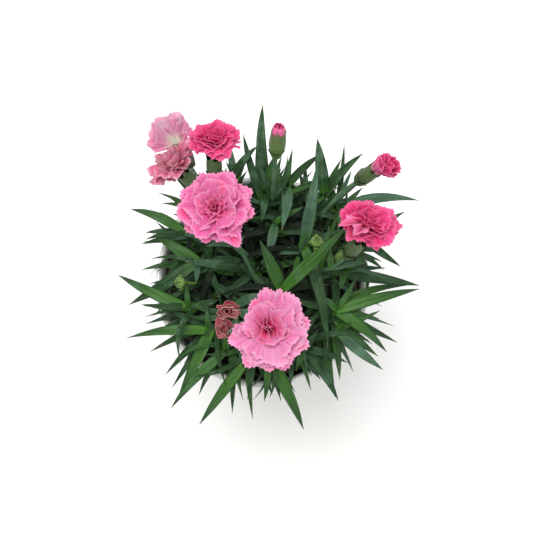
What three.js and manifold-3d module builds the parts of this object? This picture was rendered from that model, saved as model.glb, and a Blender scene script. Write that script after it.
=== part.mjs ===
// Potted dianthus: a mini carnation in its grow pot, which stands in a glazed cover pot.
// Millimetres, +Z up, +X to the right, +Y to the back. The origin is the centre of the cover
// pot's flat foot, on the surface that it stands on.

import * as THREE from "three";
import { mergeVertices } from "three/addons/utils/BufferGeometryUtils.js";
import Module from "manifold-3d";

const wasm = await Module();
wasm.setup();

// ---------------------------------------------------------------- driving dimensions

const GAP = 0.3; // air left between pieces that touch
const POT_SIDES = 32;

const COVER_POT = {
  height: 120,
  footRadius: 48,
  rimRadius: 67,
  wall: 4,
  floor: 6,
  edge: 1, // the small chamfer of foot and rim
};

const GROW_POT = {
  height: 108,
  footRadius: 38,
  rimRadius: 59,
  wall: 1.2,
  bandHeight: 9, // the stiffening band under the rim
  bandStep: 2.2, // how far the band stands out from the wall below it
  holes: 6,
  holeRadius: 3,
  holeSides: 8,
  holeCircle: 29,
};

const SOIL = {
  top: 108, // height of the surface above the surface the pot stands on
  dip: 2.5, // how far that surface falls away between its crumbs
  crumb: 8, // distance from one crumb to the next
  rings: [1, 0.75, 0.45, 0.2], // rings of points on the surface, as shares of its radius
};

const SHOOT = {
  radius: 1.5,
  steps: 3,
  upright: 0.35, // share of its rise that the stem sets out to climb straight up
  shoulder: 0.75, // share of its rise that it has climbed halfway out
};

const FLOWER_STEM = {
  radius: 1.3,
  steps: 5,
  upright: 0.45, // share of its rise that the stem sets out to climb straight up
  arrival: 0.35, // share of its rise that it ends along the flower's axis
};

const STEM_SIDES = 4;

const LEAF = {
  thickness: 1.1,
  arch: 0.16, // height of the middle of a leaf over its chord, as a share of its reach
  stations: [0, 0.4, 0.8], // where the width is set, as shares of the length
  widest: 0.4, // place of the full width
  base: 0.22, // width of the clasping base, as a share of the full width
  hold: 2.5, // power that keeps the blade wide until close to its point
  point: 0.9, // power that shapes the point
};

const CALYX = {
  footRadius: 3,
  bellyRadius: 4.6,
  bellyPlace: 0.4, // height of the belly, as a share of the length
  wall: 0.8,
  floor: 0.25, // height of the floor inside the tube, as a share of the length
  bevel: 0.03, // height of the bevel round the foot, as a share of the length
  sides: 8,
};

const BLOOM = {
  clearance: 0.4, // air between the petal claws and the calyx round them
  sides: 16,
  lobes: 5, // swells of the outline round the flower
  waves: 7, // ups and downs of the edge round the flower
  frillFrom: 2, // height above the calyx mouth where they begin
};

const LEAF_GREEN = "#3d6b3a";
const STEM_GREEN = "#4d7a46";
const CALYX_GREEN = "#55803f";
const ROUGHNESS = { glaze: 0.25, plastic: 0.6, soil: 0.95, leaf: 0.55, calyx: 0.5, petal: 0.7 };

// ---------------------------------------------------------------- planting plan

// A shoot grows from its foot in the soil to its top. Each of its leaves is
// [place along the stem from 0 to 1, turn in degrees from +X, reach, rise, width].
const SHOOTS = [
  {
    name: "shoot_east",
    foot: [27, -13],
    top: [45, -22, 140],
    leaves: [[1, 16, 54, -8, 8], [0.85, 18, 54, -12, 6], [0.95, -36, 41, -15, 8],
             [0.75, -40, 44, -19, 8], [0.6, -23, 53, -17, 7], [0.7, -13, 45, -14, 4],
             [1, 58, 24, 10, 4], [1, 146, 11, 18, 5], [0.55, -141, 13, 1, 6]],
  },
  {
    name: "shoot_east_inner",
    foot: [30, 2],
    top: [50, 3, 142],
    leaves: [[0.8, -7, 54, -12, 9], [1, 28, 14, 10, 5], [0.9, -149, 16, 11, 5],
             [1, -103, 16, 16, 5], [0.6, 83, 27, -4, 6], [0.5, 9, 41, -12, 6]],
  },
  {
    name: "shoot_south_east",
    foot: [29, -22],
    top: [47, -35, 134],
    leaves: [[1, -37, 34, -16, 8], [0.8, -60, 29, -16, 4], [0.9, -83, 29, -14, 6],
             [0.7, -82, 43, -19, 6], [1, 33, 8, 18, 4], [0.6, -20, 34, -13, 5]],
  },
  {
    name: "shoot_south_south_east",
    foot: [15, -28],
    top: [25, -47, 136],
    leaves: [[0.8, -53, 41, -17, 8], [0.7, -56, 28, -17, 6], [0.9, -16, 30, -8, 6],
             [1, 54, 14, 16, 5], [0.6, -94, 30, -16, 6], [1, -110, 14, 14, 5]],
  },
  {
    name: "shoot_south",
    foot: [2, -32],
    top: [3, -53, 136],
    leaves: [[0.95, -61, 46, -23, 9], [0.7, -55, 31, -13, 5], [0.6, -75, 35, -20, 6],
             [0.8, -93, 30, -13, 6], [1, 112, 9, 19, 5], [1, 34, 9, 19, 5]],
  },
  {
    name: "shoot_south_south_west",
    foot: [-6, -32],
    top: [-10, -53, 140],
    leaves: [[1, -128, 46, -20, 8], [0.8, -86, 39, -27, 5], [0.6, -66, 34, -3, 6],
             [0.9, 136, 12, 13, 5], [0.6, -118, 37, -21, 6]],
  },
  {
    name: "shoot_south_west_low",
    foot: [-14, -29],
    top: [-22, -47, 136],
    leaves: [[0.7, -86, 44, -23, 6], [0.95, -143, 49, -17, 7], [0.8, -124, 35, -19, 6],
             [1, 89, 12, 16, 5], [0.5, -132, 29, -11, 6], [0.8, -3, 10, 7, 5]],
  },
  {
    name: "shoot_south_west",
    foot: [-20, -21],
    top: [-33, -34, 140],
    leaves: [[1, -176, 50, -10, 8], [0.9, -117, 45, -17, 9], [0.7, -138, 44, -20, 6],
             [0.6, -128, 50, -23, 6], [1, 94, 13, 12, 4], [0.5, -158, 50, -15, 6],
             [0.7, -46, 12, -4, 6]],
  },
  {
    name: "shoot_west",
    foot: [-27, -12],
    top: [-45, -21, 142],
    leaves: [[1, 153, 49, -10, 8], [0.7, 178, 38, -15, 5], [0.6, -165, 40, -18, 6],
             [1, 94, 13, 14, 4], [0.8, 13, 13, 4, 6], [0.5, -153, 36, -18, 5]],
  },
  {
    name: "shoot_west_upper",
    foot: [-24, 4],
    top: [-40, 7, 144],
    leaves: [[1, -153, 48, -26, 9], [0.7, 178, 42, -17, 6], [0.9, 146, 36, -9, 9],
             [1, -90, 14, 8, 5], [0.8, -8, 11, 8, 6], [0.5, -171, 42, -17, 6]],
  },
  {
    name: "shoot_west_north_west",
    foot: [-30, 17],
    top: [-48, 27, 138],
    leaves: [[0.7, 180, 35, -8, 6], [0.8, 170, 31, -7, 6], [1, 155, 37, -6, 7],
             [0.9, 141, 23, 2, 5], [1, -35, 17, 12, 5], [0.5, -168, 19, -8, 5]],
  },
  {
    name: "shoot_north_west",
    foot: [-25, 28],
    top: [-41, 44, 140],
    leaves: [[0.8, 162, 29, -9, 5], [0.6, 147, 41, -13, 4], [1, 107, 27, -6, 6],
             [0.8, 94, 21, -3, 6], [1, -38, 15, 16, 5], [0.5, 159, 29, -11, 5]],
  },
  {
    name: "shoot_north_north_west",
    foot: [-12, 37],
    top: [-19, 59, 142],
    leaves: [[1, 52, 26, 6, 6], [0.8, 98, 35, -6, 6], [0.9, 65, 20, 1, 6],
             [0.6, 115, 37, -12, 6], [1, -77, 18, 14, 5], [0.6, 59, 21, -6, 5]],
  },
  {
    name: "shoot_north",
    foot: [-2, 31],
    top: [2, 51, 144],
    leaves: [[1, 92, 52, 14, 8], [0.8, 106, 46, -2, 6], [0.9, 77, 22, 17, 6],
             [0.6, 95, 45, -13, 5], [1, -96, 22, 16, 6], [0.6, 66, 36, -9, 5]],
  },
  {
    name: "shoot_north_north_east",
    foot: [14, 30],
    top: [15, 55, 142],
    leaves: [[1, 44, 29, 0, 6], [0.8, 41, 20, -2, 6], [0.6, 84, 44, -12, 5],
             [1, -96, 32, 24, 8], [0.8, 121, 25, -8, 5], [0.6, 45, 18, -10, 5]],
  },
  {
    name: "shoot_north_east",
    foot: [23, 30],
    top: [38, 49, 144],
    leaves: [[1, 98, 32, 14, 9], [0.8, 63, 34, 0, 5], [0.9, 37, 38, -5, 7],
             [0.7, 107, 28, -7, 6], [1, -129, 19, 14, 5], [0.5, 56, 38, -11, 5]],
  },
  {
    name: "shoot_east_north_east",
    foot: [32, 27],
    top: [51, 43, 142],
    leaves: [[1, 6, 46, -8, 8], [0.8, 83, 46, 0, 4], [0.7, 48, 31, -9, 5],
             [0.9, 118, 14, 3, 5], [1, -105, 20, 14, 5], [0.6, 12, 29, -12, 6]],
  },
  {
    name: "shoot_east_upper",
    foot: [38, 15],
    top: [61, 24, 138],
    leaves: [[0.9, 33, 38, -12, 6], [1, -31, 29, -18, 6], [0.7, -4, 23, -12, 7],
             [1, 136, 11, 16, 5], [0.8, -106, 11, 9, 5], [0.6, 43, 29, -13, 5]],
  },
  {
    name: "shoot_heart_east",
    foot: [18, 11],
    top: [25, 16, 150],
    leaves: [[1, 80, 43, 40, 9], [0.8, -165, 13, 7, 6], [0.7, 27, 21, 3, 8],
             [1, -75, 64, 0, 9], [0.5, -80, 18, -3, 6], [0.6, -12, 19, -1, 5]],
  },
  {
    name: "shoot_heart_south",
    foot: [9, -7],
    top: [12, -11, 152],
    leaves: [[1, 40, 49, 36, 9], [0.9, 119, 27, 37, 9], [0.7, -42, 16, -1, 6],
             [0.6, 148, 17, 0, 6], [0.8, 21, 26, -5, 6]],
  },
  {
    name: "shoot_heart_west",
    foot: [-3, 4],
    top: [-4, 5, 138],
    leaves: [[1, 178, 43, 8, 9], [0.8, 139, 25, 11, 6], [0.7, 30, 12, 18, 6],
             [0.6, -128, 17, 3, 6], [0.9, -140, 27, 2, 6]],
  },
  {
    name: "shoot_heart_north",
    foot: [6, 22],
    top: [8, 31, 150],
    leaves: [[1, 23, 18, 16, 5], [0.8, -10, 34, 1, 8], [0.7, 143, 18, 1, 6],
             [0.9, -102, 21, 3, 7], [0.6, 66, 25, -5, 6], [0.5, 172, 11, -7, 6]],
  },
  {
    name: "shoot_heart_south_west",
    foot: [-11, -14],
    top: [-16, -19, 142],
    leaves: [[1, 10, 16, 26, 7], [0.8, 143, 25, 2, 6], [0.7, -154, 18, -5, 6],
             [0.9, -60, 18, 1, 6], [0.6, 110, 17, -4, 6]],
  },
];

// A flower stem ends under the foot of its calyx, and the flower looks along facing.
// A bloom is the outline of its petals above the calyx mouth, as [radius, height] points.
const FLOWERS = [
  {
    name: "left",
    foot: [0, -10],
    calyxFoot: [-24, 23, 206],
    facing: [-0.12, -0.05, 1],
    calyxLength: 21,
    colour: "#ee6fae",
    ruffle: 0.06,
    bloom: [[12, 3.5], [22, 5.5], [22.5, 8], [17, 11], [9, 13], [0, 11]],
    leaves: [[0.35, 147, 12, 3, 4], [0.35, -49, 21, -1, 4], [0.62, 12, 5, 21, 5],
             [0.62, -171, 19, 11, 5]],
  },
  {
    name: "front",
    foot: [3, -18],
    calyxFoot: [3, -43, 219],
    facing: [0, -0.12, 1],
    calyxLength: 21,
    colour: "#f38cc0",
    ruffle: 0.06,
    bloom: [[12, 3.5], [22.5, 5.5], [23, 8], [18, 11], [9, 13], [0, 11]],
    leaves: [[0.66, 167, 16, 20, 7], [0.55, -152, 27, 21, 7], [0.5, -28, 24, 18, 5],
             [0.3, -60, 27, 13, 6], [0.3, -137, 19, 7, 5]],
  },
  {
    name: "back",
    foot: [-14, 24],
    calyxFoot: [-28, 50, 187],
    facing: [0, 0.55, 1],
    calyxLength: 21,
    colour: "#e8417f",
    ruffle: 0.06,
    bloom: [[8, 3.5], [14, 6], [14.5, 9], [12, 13], [6, 15], [0, 13]],
    leaves: [[0.45, 30, 16, 8, 5], [0.45, 84, 14, 9, 5], [0.7, 77, 17, 25, 5],
             [0.7, 118, 12, 8, 4]],
  },
  {
    name: "right",
    foot: [27, 5],
    calyxFoot: [49, 4, 181],
    facing: [0.5, 0.42, 1],
    calyxLength: 21,
    colour: "#e8416f",
    ruffle: 0.06,
    bloom: [[10, 3.5], [17, 6], [17.5, 9], [14, 13], [7, 15], [0, 13]],
    leaves: [[0.5, -9, 17, 0, 5], [0.5, 76, 26, 10, 5], [0.75, 0, 19, 13, 6],
             [0.75, 102, 8, 21, 5]],
  },
  {
    name: "faded",
    foot: [-25, 36],
    calyxFoot: [-42, 58, 177],
    facing: [-0.5, 0.75, 0.3],
    calyxLength: 18,
    colour: "#e79cc4",
    ruffle: 0.05,
    bloom: [[7, 6], [13, 13], [13, 15], [6, 12], [0, 9]],
    leaves: [[0.5, 113, 27, -8, 4], [0.5, -180, 4, 4, 4]],
  },
  {
    name: "wilted",
    foot: [-24, 22],
    calyxFoot: [-37, 45, 184],
    facing: [-0.6, 0.4, 0.7],
    calyxLength: 18,
    colour: "#c76f92",
    ruffle: 0.1,
    bloom: [[7, 4], [11, 8], [9, 12], [4, 13], [0, 13]],
    leaves: [[0.55, 140, 42, -5, 4], [0.55, 170, 20, 5, 6]],
  },
  {
    name: "closed_bud",
    foot: [6, 42],
    calyxFoot: [8, 63, 186],
    facing: [0.08, 0.54, 1],
    calyxLength: 21,
    colour: "#e0607f",
    ruffle: 0,
    bloom: [[3.6, 3], [2, 6.5], [0, 8]],
    leaves: [[0.45, 116, 19, 13, 5], [0.45, 47, 16, 5, 5], [0.75, 90, 12, 21, 3]],
  },
  {
    name: "half_open_bud",
    foot: [31, 31],
    calyxFoot: [56, 50, 176],
    facing: [0.65, 0.3, 0.7],
    calyxLength: 18,
    colour: "#df3f72",
    ruffle: 0.05,
    bloom: [[6.5, 3], [8, 8], [7, 13], [4, 14], [0, 14]],
    leaves: [[0.5, 39, 35, 3, 5], [0.5, 54, 10, 11, 5], [0.8, 64, 13, 11, 3]],
  },
];

// Two spent flowers stand on one forked stem.
const SPENT_STEM = {
  foot: [-4, -26],
  fork: [-13, -35, 160],
  facing: [-0.2, -0.2, 1],
  merge: 2, // how far below the fork's end the branches set out
  trunkSteps: 4,
  branchSteps: 3,
};
const SPENT_FLOWERS = [
  { name: "spent_upper", calyxFoot: [-18, -31, 184], facing: [-0.15, 0.1, 1] },
  { name: "spent_lower", calyxFoot: [-19, -38, 173], facing: [-0.25, -0.35, 1] },
];
const SPENT = {
  calyxLength: 9,
  calyxScale: 0.7,
  colour: "#a8536a",
  ruffle: 0.12,
  bloom: [[5, 2.5], [6, 5.5], [4, 8], [0, 8]],
};

// Young buds on thin stems of their own, each in one piece with its stem.
const YOUNG_BUDS = [
  { name: "young_bud_east", foot: [40, 13], tip: [46, 6, 166] },
  { name: "young_bud_heart", foot: [30, 6], tip: [32, 14, 170] },
  { name: "young_bud_west", foot: [-33, -3], tip: [-48, -6, 148] },
];
const YOUNG_BUD = {
  length: 9,
  radius: 3.4,
  outline: [[0, 0], [0.6, 0.08], [1, 0.4], [0.7, 0.75], [0, 1]], // shares of radius and length
  sunk: 1, // how far the bud sits down over the end of its stem
  stemRadius: 0.9,
  stemSteps: 4,
  sides: 8,
};

// ---------------------------------------------------------------- solids and meshes

const vector = (x, y, z) => new THREE.Vector3(x, y, z);
const UP = vector(0, 0, 1);

// A three.js geometry as a manifold-3d solid.
function solidFrom(geometry) {
  const bare = geometry.clone();
  bare.deleteAttribute("normal");
  bare.deleteAttribute("uv");
  const merged = mergeVertices(bare, 1e-4);
  const vertProperties = merged.attributes.position.array;
  const triVerts = new Uint32Array(merged.index.array);
  return new wasm.Manifold(new wasm.Mesh({ numProp: 3, vertProperties, triVerts }));
}

// A manifold-3d solid as a three.js geometry.
function geometryFrom(solid) {
  const { vertProperties, triVerts } = solid.getMesh();
  const geometry = new THREE.BufferGeometry();
  geometry.setAttribute("position", new THREE.BufferAttribute(vertProperties, 3));
  geometry.setIndex(new THREE.BufferAttribute(triVerts, 1));
  geometry.computeVertexNormals();
  return geometry;
}

function namedMesh(name, geometry, colour, roughness) {
  const material = new THREE.MeshStandardMaterial({ color: colour, roughness, metalness: 0 });
  const mesh = new THREE.Mesh(geometry, material);
  mesh.name = name;
  return mesh;
}

// A solid of revolution about Z from [radius, height] points.
function turned(points, sides) {
  const profile = points.map(([radius, height]) => new THREE.Vector2(radius, height));
  return new THREE.LatheGeometry(profile, sides).rotateX(Math.PI / 2);
}

// ---------------------------------------------------------------- pots and soil

function coverPot() {
  const { height, footRadius, rimRadius, wall, floor, edge } = COVER_POT;
  const inside = (z) => footRadius + ((rimRadius - footRadius) * z) / height - wall;
  const profile = [
    [0, 0],
    [footRadius - edge, 0],
    [footRadius, edge],
    [rimRadius, height - edge],
    [rimRadius - edge, height],
    [rimRadius - wall + edge, height],
    [inside(height), height - edge],
    [inside(floor + edge), floor + edge],
    [inside(floor) - edge, floor],
    [0, floor],
  ];
  return namedMesh("cover_pot", turned(profile, POT_SIDES), "#eceeea", ROUGHNESS.glaze);
}

const GROW_POT_FOOT = COVER_POT.floor + GAP;
const GROW_POT_FLOOR = 1.5 * GROW_POT.wall;
const BAND_FOOT = GROW_POT.height - GROW_POT.bandHeight;

// Outer radius of the grow pot's plain wall at a height above its own foot.
function growWallRadius(z) {
  const { footRadius, rimRadius, bandStep } = GROW_POT;
  return footRadius + ((rimRadius - bandStep - footRadius) * z) / BAND_FOOT;
}

function growPot() {
  const { height, footRadius, rimRadius, wall, holes, holeRadius, holeSides } = GROW_POT;
  const profile = [
    [0, 0],
    [footRadius - wall, 0],
    [footRadius, wall],
    [growWallRadius(BAND_FOOT), BAND_FOOT],
    [rimRadius - wall / 2, BAND_FOOT],
    [rimRadius, height - wall / 2],
    [rimRadius - wall / 2, height],
    [rimRadius - wall, height],
    [rimRadius - 1.5 * wall, BAND_FOOT + wall],
    [growWallRadius(BAND_FOOT) - wall, BAND_FOOT + wall],
    [footRadius - wall, GROW_POT_FLOOR],
    [0, GROW_POT_FLOOR],
  ];
  let pot = solidFrom(turned(profile, POT_SIDES));
  for (let hole = 0; hole < holes; hole += 1) {
    const turn = (hole * 2 * Math.PI) / holes;
    const drill = new THREE.CylinderGeometry(holeRadius, holeRadius, 4 * wall, holeSides);
    drill.rotateX(Math.PI / 2);
    const circle = GROW_POT.holeCircle;
    drill.translate(circle * Math.cos(turn), circle * Math.sin(turn), wall);
    pot = pot.subtract(solidFrom(drill));
  }
  const mesh = namedMesh("grow_pot", geometryFrom(pot), "#3a3330", ROUGHNESS.plastic);
  mesh.position.z = GROW_POT_FOOT;
  return mesh;
}

// The soil fills the grow pot to a little above the foot of its band. Its surface is crumbly.
function soil() {
  const air = 2 * GAP;
  const footRadius = GROW_POT.footRadius - GROW_POT.wall - air;
  const topRadius = growWallRadius(BAND_FOOT) - GROW_POT.wall - air;
  const bottom = GROW_POT_FOOT + GROW_POT_FLOOR + GAP;
  const profile = [
    [0, bottom],
    [footRadius, bottom],
    [topRadius, GROW_POT_FOOT + BAND_FOOT],
    ...SOIL.rings.map((share) => [topRadius * share, SOIL.top]),
    [0, SOIL.top],
  ];
  const geometry = turned(profile, POT_SIDES);
  const position = geometry.attributes.position;
  const wave = (2 * Math.PI) / SOIL.crumb;
  for (let i = 0; i < position.count; i += 1) {
    const crumb = Math.sin(position.getX(i) * wave) * Math.cos(position.getY(i) * wave);
    const z = position.getZ(i);
    if (z > SOIL.top - GAP) position.setZ(i, z - SOIL.dip * (0.5 + 0.5 * crumb));
  }
  return namedMesh("soil", geometry, "#2b211b", ROUGHNESS.soil);
}

// ---------------------------------------------------------------- stems and leaves

const STEM_FOOT = SOIL.top + GAP;

// A leafy shoot leaves the soil upright and then leans out to its top.
function shootCurve({ foot: [x, y], top }) {
  const [topX, topY, topZ] = top;
  const rise = topZ - SOIL.top;
  return new THREE.CubicBezierCurve3(
    vector(x, y, STEM_FOOT),
    vector(x, y, SOIL.top + SHOOT.upright * rise),
    vector((x + topX) / 2, (y + topY) / 2, SOIL.top + SHOOT.shoulder * rise),
    vector(topX, topY, topZ),
  );
}

// A flower stem sets out upright and arrives under its calyx along the flower's axis.
function flowerCurve([x, y, z], calyxFoot, facing) {
  const rise = calyxFoot[2] - z;
  const axis = vector(...facing).normalize();
  return new THREE.CubicBezierCurve3(
    vector(x, y, z),
    vector(x, y, z + FLOWER_STEM.upright * rise),
    vector(...calyxFoot).addScaledVector(axis, -FLOWER_STEM.arrival * rise),
    vector(...calyxFoot).addScaledVector(axis, -GAP),
  );
}

function stemSolid(curve, radius, steps) {
  const section = new THREE.Shape();
  for (let side = 0; side < STEM_SIDES; side += 1) {
    const turn = (side * 2 * Math.PI) / STEM_SIDES;
    const [x, y] = [radius * Math.cos(turn), radius * Math.sin(turn)];
    if (side === 0) section.moveTo(x, y);
    else section.lineTo(x, y);
  }
  section.closePath();
  const options = { steps, bevelEnabled: false, extrudePath: curve };
  return solidFrom(new THREE.ExtrudeGeometry(section, options));
}

// Half the width of a leaf at a place along it: a clasping base, a full middle, a long point.
function leafHalfWidth(place, width) {
  const opening = Math.sin((Math.PI / 2) * Math.min(1, place / LEAF.widest));
  const swell = LEAF.base + (1 - LEAF.base) * opening;
  return (width / 2) * swell * (1 - place ** LEAF.hold) ** LEAF.point;
}

// A leaf is cut flat, with its length from 0 to 1 along X, and then laid on its arched path.
function leafSolid(stem, [place, turn, reach, rise, width]) {
  const angle = THREE.MathUtils.degToRad(turn);
  const outwards = vector(Math.cos(angle), Math.sin(angle), 0);
  const sideways = vector(-Math.sin(angle), Math.cos(angle), 0);
  const start = stem.getPoint(place);
  const end = start.clone().addScaledVector(outwards, reach).addScaledVector(UP, rise);
  const middle = start.clone().lerp(end, 0.5).addScaledVector(UP, 2 * LEAF.arch * reach);
  const path = new THREE.QuadraticBezierCurve3(start, middle, end);

  const near = LEAF.stations.map((s) => new THREE.Vector2(s, -leafHalfWidth(s, width)));
  const far = LEAF.stations.map((s) => new THREE.Vector2(s, leafHalfWidth(s, width)));
  const outline = new THREE.Shape([...near, new THREE.Vector2(1, 0), ...far.reverse()]);
  const options = { depth: LEAF.thickness, bevelEnabled: false, steps: 1 };
  const blade = new THREE.ExtrudeGeometry(outline, options);

  const position = blade.attributes.position;
  for (let i = 0; i < position.count; i += 1) {
    const along = Math.min(1, Math.max(0, position.getX(i)));
    const upwards = path.getTangent(along).cross(sideways).normalize();
    const point = path.getPoint(along);
    point.addScaledVector(sideways, position.getY(i));
    point.addScaledVector(upwards, position.getZ(i) - LEAF.thickness / 2);
    position.setXYZ(i, point.x, point.y, point.z);
  }
  return solidFrom(blade);
}

// ---------------------------------------------------------------- flowers

// The calyx is a green tube, closed round the stem and open at its mouth.
function calyxGeometry(length, scale) {
  const { footRadius, bellyRadius, bellyPlace, wall, floor, bevel, sides } = CALYX;
  const profile = [
    [0, 0],
    [footRadius, bevel * length],
    [bellyRadius, bellyPlace * length],
    [bellyRadius, length],
    [bellyRadius - wall, length],
    [bellyRadius - wall, bellyPlace * length + wall],
    [footRadius, floor * length],
    [0, floor * length],
  ];
  const scaled = profile.map(([radius, z]) => [radius * scale, z]);
  return turned(scaled, sides);
}

// The petals of a flower: their claws fill the calyx tube and their blades open above it.
function petalGeometry({ calyxLength, bloom, ruffle }, scale) {
  const clawFoot = CALYX.floor * calyxLength + BLOOM.clearance;
  const clawRadius = (CALYX.bellyRadius - CALYX.wall) * scale - BLOOM.clearance;
  const claws = [
    [0, clawFoot],
    [CALYX.footRadius * scale - 2 * BLOOM.clearance, clawFoot],
    [clawRadius, 0.5 * calyxLength],
    [clawRadius, calyxLength + GAP],
  ];
  const blades = bloom.map(([radius, z]) => [radius, calyxLength + z]);
  const geometry = turned([...claws, ...blades], BLOOM.sides);
  const position = geometry.attributes.position;
  for (let i = 0; i < position.count; i += 1) {
    const [x, y, z] = [position.getX(i), position.getY(i), position.getZ(i)];
    if (z < calyxLength + BLOOM.frillFrom) continue;
    const turn = Math.atan2(y, x);
    const swell = 1 + ruffle * Math.sin(BLOOM.lobes * turn);
    const lift = ruffle * Math.hypot(x, y) * Math.sin(BLOOM.waves * turn);
    position.setXYZ(i, x * swell, y * swell, z + lift);
  }
  return geometry;
}

// A head is a calyx with its petals, standing at calyxFoot and looking along facing.
function flowerHead({ name, calyxFoot, facing }, bloom, scale) {
  const head = new THREE.Group();
  const calyx = calyxGeometry(bloom.calyxLength, scale);
  const petals = petalGeometry(bloom, scale);
  head.add(namedMesh(`calyx_${name}`, calyx, CALYX_GREEN, ROUGHNESS.calyx));
  head.add(namedMesh(`petals_${name}`, petals, bloom.colour, ROUGHNESS.petal));
  head.position.set(...calyxFoot);
  head.quaternion.setFromUnitVectors(UP, vector(...facing).normalize());
  return head;
}

function spentFlowers() {
  const { foot, fork, facing, merge, trunkSteps, branchSteps } = SPENT_STEM;
  const trunk = flowerCurve([...foot, STEM_FOOT], fork, facing);
  let stem = stemSolid(trunk, FLOWER_STEM.radius, trunkSteps);
  const group = new THREE.Group();
  for (const flower of SPENT_FLOWERS) {
    const [forkX, forkY, forkZ] = fork;
    const branch = flowerCurve([forkX, forkY, forkZ - merge], flower.calyxFoot, flower.facing);
    stem = stem.add(stemSolid(branch, FLOWER_STEM.radius, branchSteps));
    group.add(flowerHead(flower, SPENT, SPENT.calyxScale));
  }
  group.add(namedMesh("stem_spent", geometryFrom(stem), STEM_GREEN, ROUGHNESS.leaf));
  return group;
}

function youngBud({ name, foot, tip }) {
  const { length, radius, outline, sunk, stemRadius, stemSteps, sides } = YOUNG_BUD;
  const curve = shootCurve({ foot, top: tip });
  const egg = turned(outline.map(([r, z]) => [r * radius, z * length]), sides);
  egg.translate(0, 0, -sunk);
  egg.applyQuaternion(new THREE.Quaternion().setFromUnitVectors(UP, curve.getTangent(1)));
  egg.translate(...tip);
  const solid = stemSolid(curve, stemRadius, stemSteps).add(solidFrom(egg));
  return namedMesh(name, geometryFrom(solid), CALYX_GREEN, ROUGHNESS.calyx);
}

// ---------------------------------------------------------------- room for the leaves

// Steps of turn in degrees and of lift that a leaf tries, the smallest change first.
const TURNS = [0, 2, -2, 4, -4, 7, -7, 10, -10];
const LIFTS = [0, 1, -1, 2, -2, 4, -4, 6, -6, 9, -9, 12, -12, 15, -15];
const effort = ([turn, lift]) => Math.abs(turn) + Math.abs(lift);
const NUDGES = TURNS.flatMap((turn) => LIFTS.map((lift) => [turn, lift]));
NUDGES.sort((a, b) => effort(a) - effort(b));

// Everything that already stands in its place, with the name of its node.
const standing = [];

function stand(node, solid) {
  standing.push({ node, solid, box: solid.boundingBox() });
}

function boxesMeet(a, b) {
  return [0, 1, 2].every((axis) => a.min[axis] < b.max[axis] && b.min[axis] < a.max[axis]);
}

function isBlocked(node, solid) {
  const box = solid.boundingBox();
  const meets = (other) => other.node !== node && boxesMeet(box, other.box);
  return standing.some((other) => meets(other) && solid.intersect(other.solid).volume() > 0);
}

// A leaf that would run into a neighbour gives way by the smallest turn and lift that clear it.
function clearLeaf({ name, curve }, [place, turn, reach, rise, width]) {
  for (const [turnStep, lift] of NUDGES) {
    const solid = leafSolid(curve, [place, turn + turnStep, reach, rise + lift, width]);
    if (!isBlocked(name, solid)) return solid;
  }
  throw new Error(`${name} has no room for its leaf at ${place}, turned ${turn}`);
}

// ---------------------------------------------------------------- the whole plant

const pottedDianthus = new THREE.Group();
pottedDianthus.add(coverPot(), growPot(), soil(), spentFlowers());
FLOWERS.forEach((plan) => pottedDianthus.add(flowerHead(plan, plan, 1)));
YOUNG_BUDS.forEach((plan) => pottedDianthus.add(youngBud(plan)));

pottedDianthus.updateMatrixWorld(true);
pottedDianthus.traverse((piece) => {
  if (!piece.isMesh) return;
  stand(piece.name, solidFrom(piece.geometry.clone().applyMatrix4(piece.matrixWorld)));
});

const shoots = SHOOTS.map((plan) => {
  const curve = shootCurve(plan);
  const solid = stemSolid(curve, SHOOT.radius, SHOOT.steps);
  return { name: plan.name, curve, solid, leaves: plan.leaves, colour: LEAF_GREEN };
});
const flowerStems = FLOWERS.map((plan) => {
  const curve = flowerCurve([...plan.foot, STEM_FOOT], plan.calyxFoot, plan.facing);
  const solid = stemSolid(curve, FLOWER_STEM.radius, FLOWER_STEM.steps);
  return { name: `stem_${plan.name}`, curve, solid, leaves: plan.leaves, colour: STEM_GREEN };
});
const stems = [...shoots, ...flowerStems];
stems.forEach(({ name, solid }) => stand(name, solid));

// The topmost leaves are placed first, so it is the lower ones that give way.
const tipHeight = ({ stem, leaf: [place, , , rise] }) => stem.curve.getPoint(place).z + rise;
const leaves = stems.flatMap((stem) => stem.leaves.map((leaf) => ({ stem, leaf })));
leaves.sort((a, b) => tipHeight(b) - tipHeight(a));
for (const { stem, leaf } of leaves) {
  const solid = clearLeaf(stem, leaf);
  stand(stem.name, solid);
  stem.solid = stem.solid.add(solid);
}
for (const { name, solid, colour } of stems) {
  pottedDianthus.add(namedMesh(name, geometryFrom(solid), colour, ROUGHNESS.leaf));
}

export default pottedDianthus;
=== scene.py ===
"""A potted mini carnation: leafy shoots, flowers and buds in a dark grow pot, in a white pot.

Sizes and places are in millimetres and angles in degrees. They are turned into the frame's metres
with MM where a mesh, a lamp or the camera is made.
"""

import logging
import math
from collections.abc import Sequence
from dataclasses import dataclass, field, replace
from enum import Enum

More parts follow.
